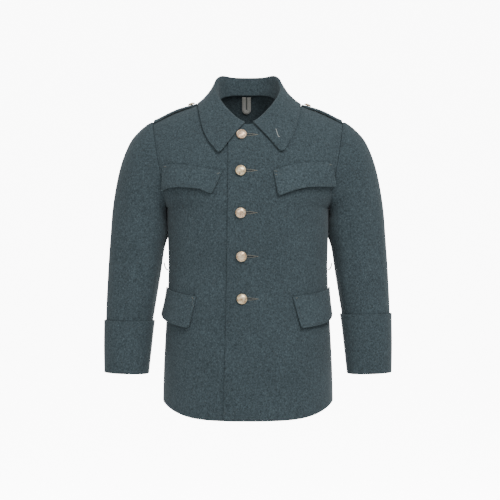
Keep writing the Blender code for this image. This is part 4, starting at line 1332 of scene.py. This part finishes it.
def build_bartacks(flaps):
    shape = bmesh.new()
    marks = (
        ("chest_flap_right", 0.07, 0.055, 0.0, 0.0070),
        ("chest_flap_right", 0.10, 0.955, -35.0, 0.0060),
        ("chest_flap_left", 0.07, 0.055, 0.0, 0.0060),
        ("chest_flap_left", 0.06, 0.960, 10.0, 0.0070),
        ("chest_flap_left", 0.20, 0.965, 8.0, 0.0050),
        ("hip_flap_right", 0.06, 0.950, 40.0, 0.0065),
        ("hip_flap_left", 0.06, 0.950, 0.0, 0.0050),
    )
    for node, row, column, lean, size in marks:
        bartack_into(shape, flaps[node], row, column, lean, size)
    start, n = grid_point(flaps["hip_flap_right"], 0.07, 0.955, 0.0006)
    t = np.linspace(0, 1, 16)
    fall = start + np.outer(t, [0.0012, 0, -0.019]) + np.outer(np.sin(t * 9.0) * 0.0011, [1, 0, 0])
    fall += n * (0.0004 + 0.0016 * np.sin(t * math.pi))[:, None]
    tube_into(shape, fall, 0.00022, 5)
    thread_piece("bartacks", shape, GREY_THREAD)


def build_collar_mark(over):
    """A loose pale stitch left on the wearer's left collar leaf."""
    shape = bmesh.new()
    route = ((0.0575, -0.0770), (0.0590, -0.0815), (0.0603, -0.0860), (0.0617, -0.0905), (0.0628, -0.0942))
    dot = ((0.0628, -0.0942), (0.0640, -0.0950), (0.0655, -0.0936))
    flat = over.reshape(-1, 3)
    normals = grid_normals(over).reshape(-1, 3)
    for path, radius in ((route, 0.0004), (dot, 0.0005)):
        for shift in (0.0, 0.0006):
            points = []
            for x, z in path:
                away = np.hypot(flat[:, 0] - x - shift, flat[:, 2] - z) + (flat[:, 1] > 0)
                nearest = int(np.argmin(away))
                y = flat[nearest, 1]
                n = normals[nearest] if normals[nearest][1] < 0 else -normals[nearest]
                points.append(np.array([x + shift, y, z]) + n * 0.0006)
            tube_into(shape, points, radius, 6)
    thread_piece("collar_stitch", shape, thread_material("white_thread", (0.36, 0.38, 0.37)))


# Hanging loop and belt hooks


def build_loop():
    """The tape, folded into a narrow U against the inside of the back."""
    angles = np.radians(np.linspace(180, 360, 17))
    path = [(-LOOP_HALF_WIDTH, z, -1.0, 0.0) for z in np.linspace(LOOP_TOP, LOOP_BOTTOM + 0.002, 9)]
    for a in angles:
        c, s = math.cos(a), math.sin(a)
        path.append((LOOP_HALF_WIDTH * c, LOOP_BOTTOM + LOOP_HALF_WIDTH * s, c, s))
    path += [(LOOP_HALF_WIDTH, z, 1.0, 0.0) for z in np.linspace(LOOP_BOTTOM + 0.002, LOOP_TOP, 9)]
    x, z, out_x, out_z = np.array(path).T
    shares = np.linspace(0, 1, 9)
    across = (shares[:, None] - 0.5) * LOOP_TAPE_WIDTH
    px, pz = LOOP_X + x + across * out_x, z + across * out_z
    puff = 0.0006 * np.sin(np.pi * shares)[:, None] + 0 * px
    near = body_surface(px, pz, True, -(CLOTH + LOOP_CLEAR) + 0 * px)
    far = body_surface(px, pz, True, -(CLOTH + LOOP_CLEAR + TAPE) - puff)
    piece = slab("hanger_loop_tape", near, far, STRIPED, "hanger_loop", edge=0.0006)
    mesh = piece.data
    mark = mesh.attributes.new("across", "FLOAT", "POINT")
    columns = len(path)
    values = np.zeros(len(mesh.vertices))
    size = columns * len(shares)
    for start in (0, size):
        values[start : start + size] = np.repeat(shares, columns)
    loop = loop_of(len(shares), columns)
    for k in range(len(RIM_ANGLES)):
        begin = 2 * size + k * len(loop)
        values[begin : begin + len(loop)] = [shares[r] for r, c in loop]
    mark.data.foreach_set("value", values)
    (long, wide), area = cut_size(near)


def build_hooks():
    width = float(TORSO("half_width", HOOK_HEIGHT)) + HOOK_GAP
    for side, flip in (("left", 1.0), ("right", -1.0)):
        route = np.array([(flip * (width + out), 0.0, HOOK_HEIGHT + up) for out, up in HOOK_ROUTE])
        reach = np.linspace(0, len(route) - 1, 33)
        fine = np.stack([np.interp(reach, np.arange(len(route)), route[:, i]) for i in range(3)], -1)
        for _ in range(4):
            fine[1:-1] = (fine[:-2] + 2 * fine[1:-1] + fine[2:]) / 4
        shape = bmesh.new()
        tube_into(shape, fine, HOOK_RADIUS, 14)
        bmesh.ops.recalc_face_normals(shape, faces=shape.faces)
        piece = frame_piece(f"belt_hook_{side}_wire", shape, STEEL, f"belt_hook_{side}")
        piece.data.set_sharp_from_angle(angle=math.radians(60))


# Floor, light and camera

CAMERA_DISTANCE = 2.8
VIEW_WIDTH = 1.075
LOOK_AT = (0.0043, 0.0, -0.329)
FLOOR = -1.58
BACKDROP_AT = 3.6
BACKDROP_SIZE = 3.2
BACKDROP_GLOW = 9.0
WORLD_LIGHT = 0.55


def plain_material(name, value, glow):
    n = Nodes(name)
    n.set(Roughness=0.9, Emission_Strength=glow)
    n.shader.inputs["Base Color"].default_value = (value, value, value, 1.0)
    n.shader.inputs["Emission Color"].default_value = (1.0, 1.0, 1.0, 1.0)
    return n.material


def stage_plane(name, size, place, tilt=0.0, glow=0.0):
    bpy.ops.mesh.primitive_plane_add(size=size, location=place, rotation=(tilt, 0, 0))
    plane = bpy.context.object
    plane.name = name
    plane.data.materials.append(plain_material(name, 0.86, glow))


def area_light(name, place, size, power):
    light = bpy.data.lights.new(name, "AREA")
    light.shape = "RECTANGLE"
    light.size, light.size_y = size
    light.energy = power
    obj = bpy.data.objects.new(name, light)
    obj.location = place
    obj.rotation_euler = (Vector(LOOK_AT) - Vector(place)).to_track_quat("-Z", "Y").to_euler()
    bpy.context.scene.collection.objects.link(obj)


def build_stage():
    stage_plane("floor", 16.0, (0, 0, FLOOR))
    stage_plane("backdrop", BACKDROP_SIZE, (0, BACKDROP_AT, 0), math.radians(90), BACKDROP_GLOW)
    world = bpy.data.worlds.new("studio")
    bpy.context.scene.world = world
    world.use_nodes = True
    background = world.node_tree.nodes["Background"]
    background.inputs["Color"].default_value = (1.0, 1.0, 1.0, 1.0)
    background.inputs["Strength"].default_value = WORLD_LIGHT
    area_light("key", (1.0, -2.2, 2.0), (1.3, 1.3), 95.0)
    area_light("fill", (-1.7, -2.8, 0.9), (1.8, 2.2), 28.0)
    camera = bpy.data.cameras.new("camera")
    camera.sensor_width = 36.0
    camera.lens = camera.sensor_width * CAMERA_DISTANCE / VIEW_WIDTH
    obj = bpy.data.objects.new("camera", camera)
    obj.location = Vector(LOOK_AT) - Vector((0, CAMERA_DISTANCE, 0))
    obj.rotation_euler = (math.radians(90), 0, 0)
    bpy.context.scene.collection.objects.link(obj)
    bpy.context.scene.camera = obj


build_torso()
build_sleeves()
build_cuffs()
collar_over, collar_under = build_collar()
flap_grids = build_chest_flaps() | build_hip_flaps()
strap_grids = build_straps()
build_buttons()
build_topstitch(flap_grids, strap_grids, collar_over)
build_buttonholes()
build_bartacks(flap_grids)
build_collar_mark(collar_over)
build_loop()
build_hooks()
build_stage()
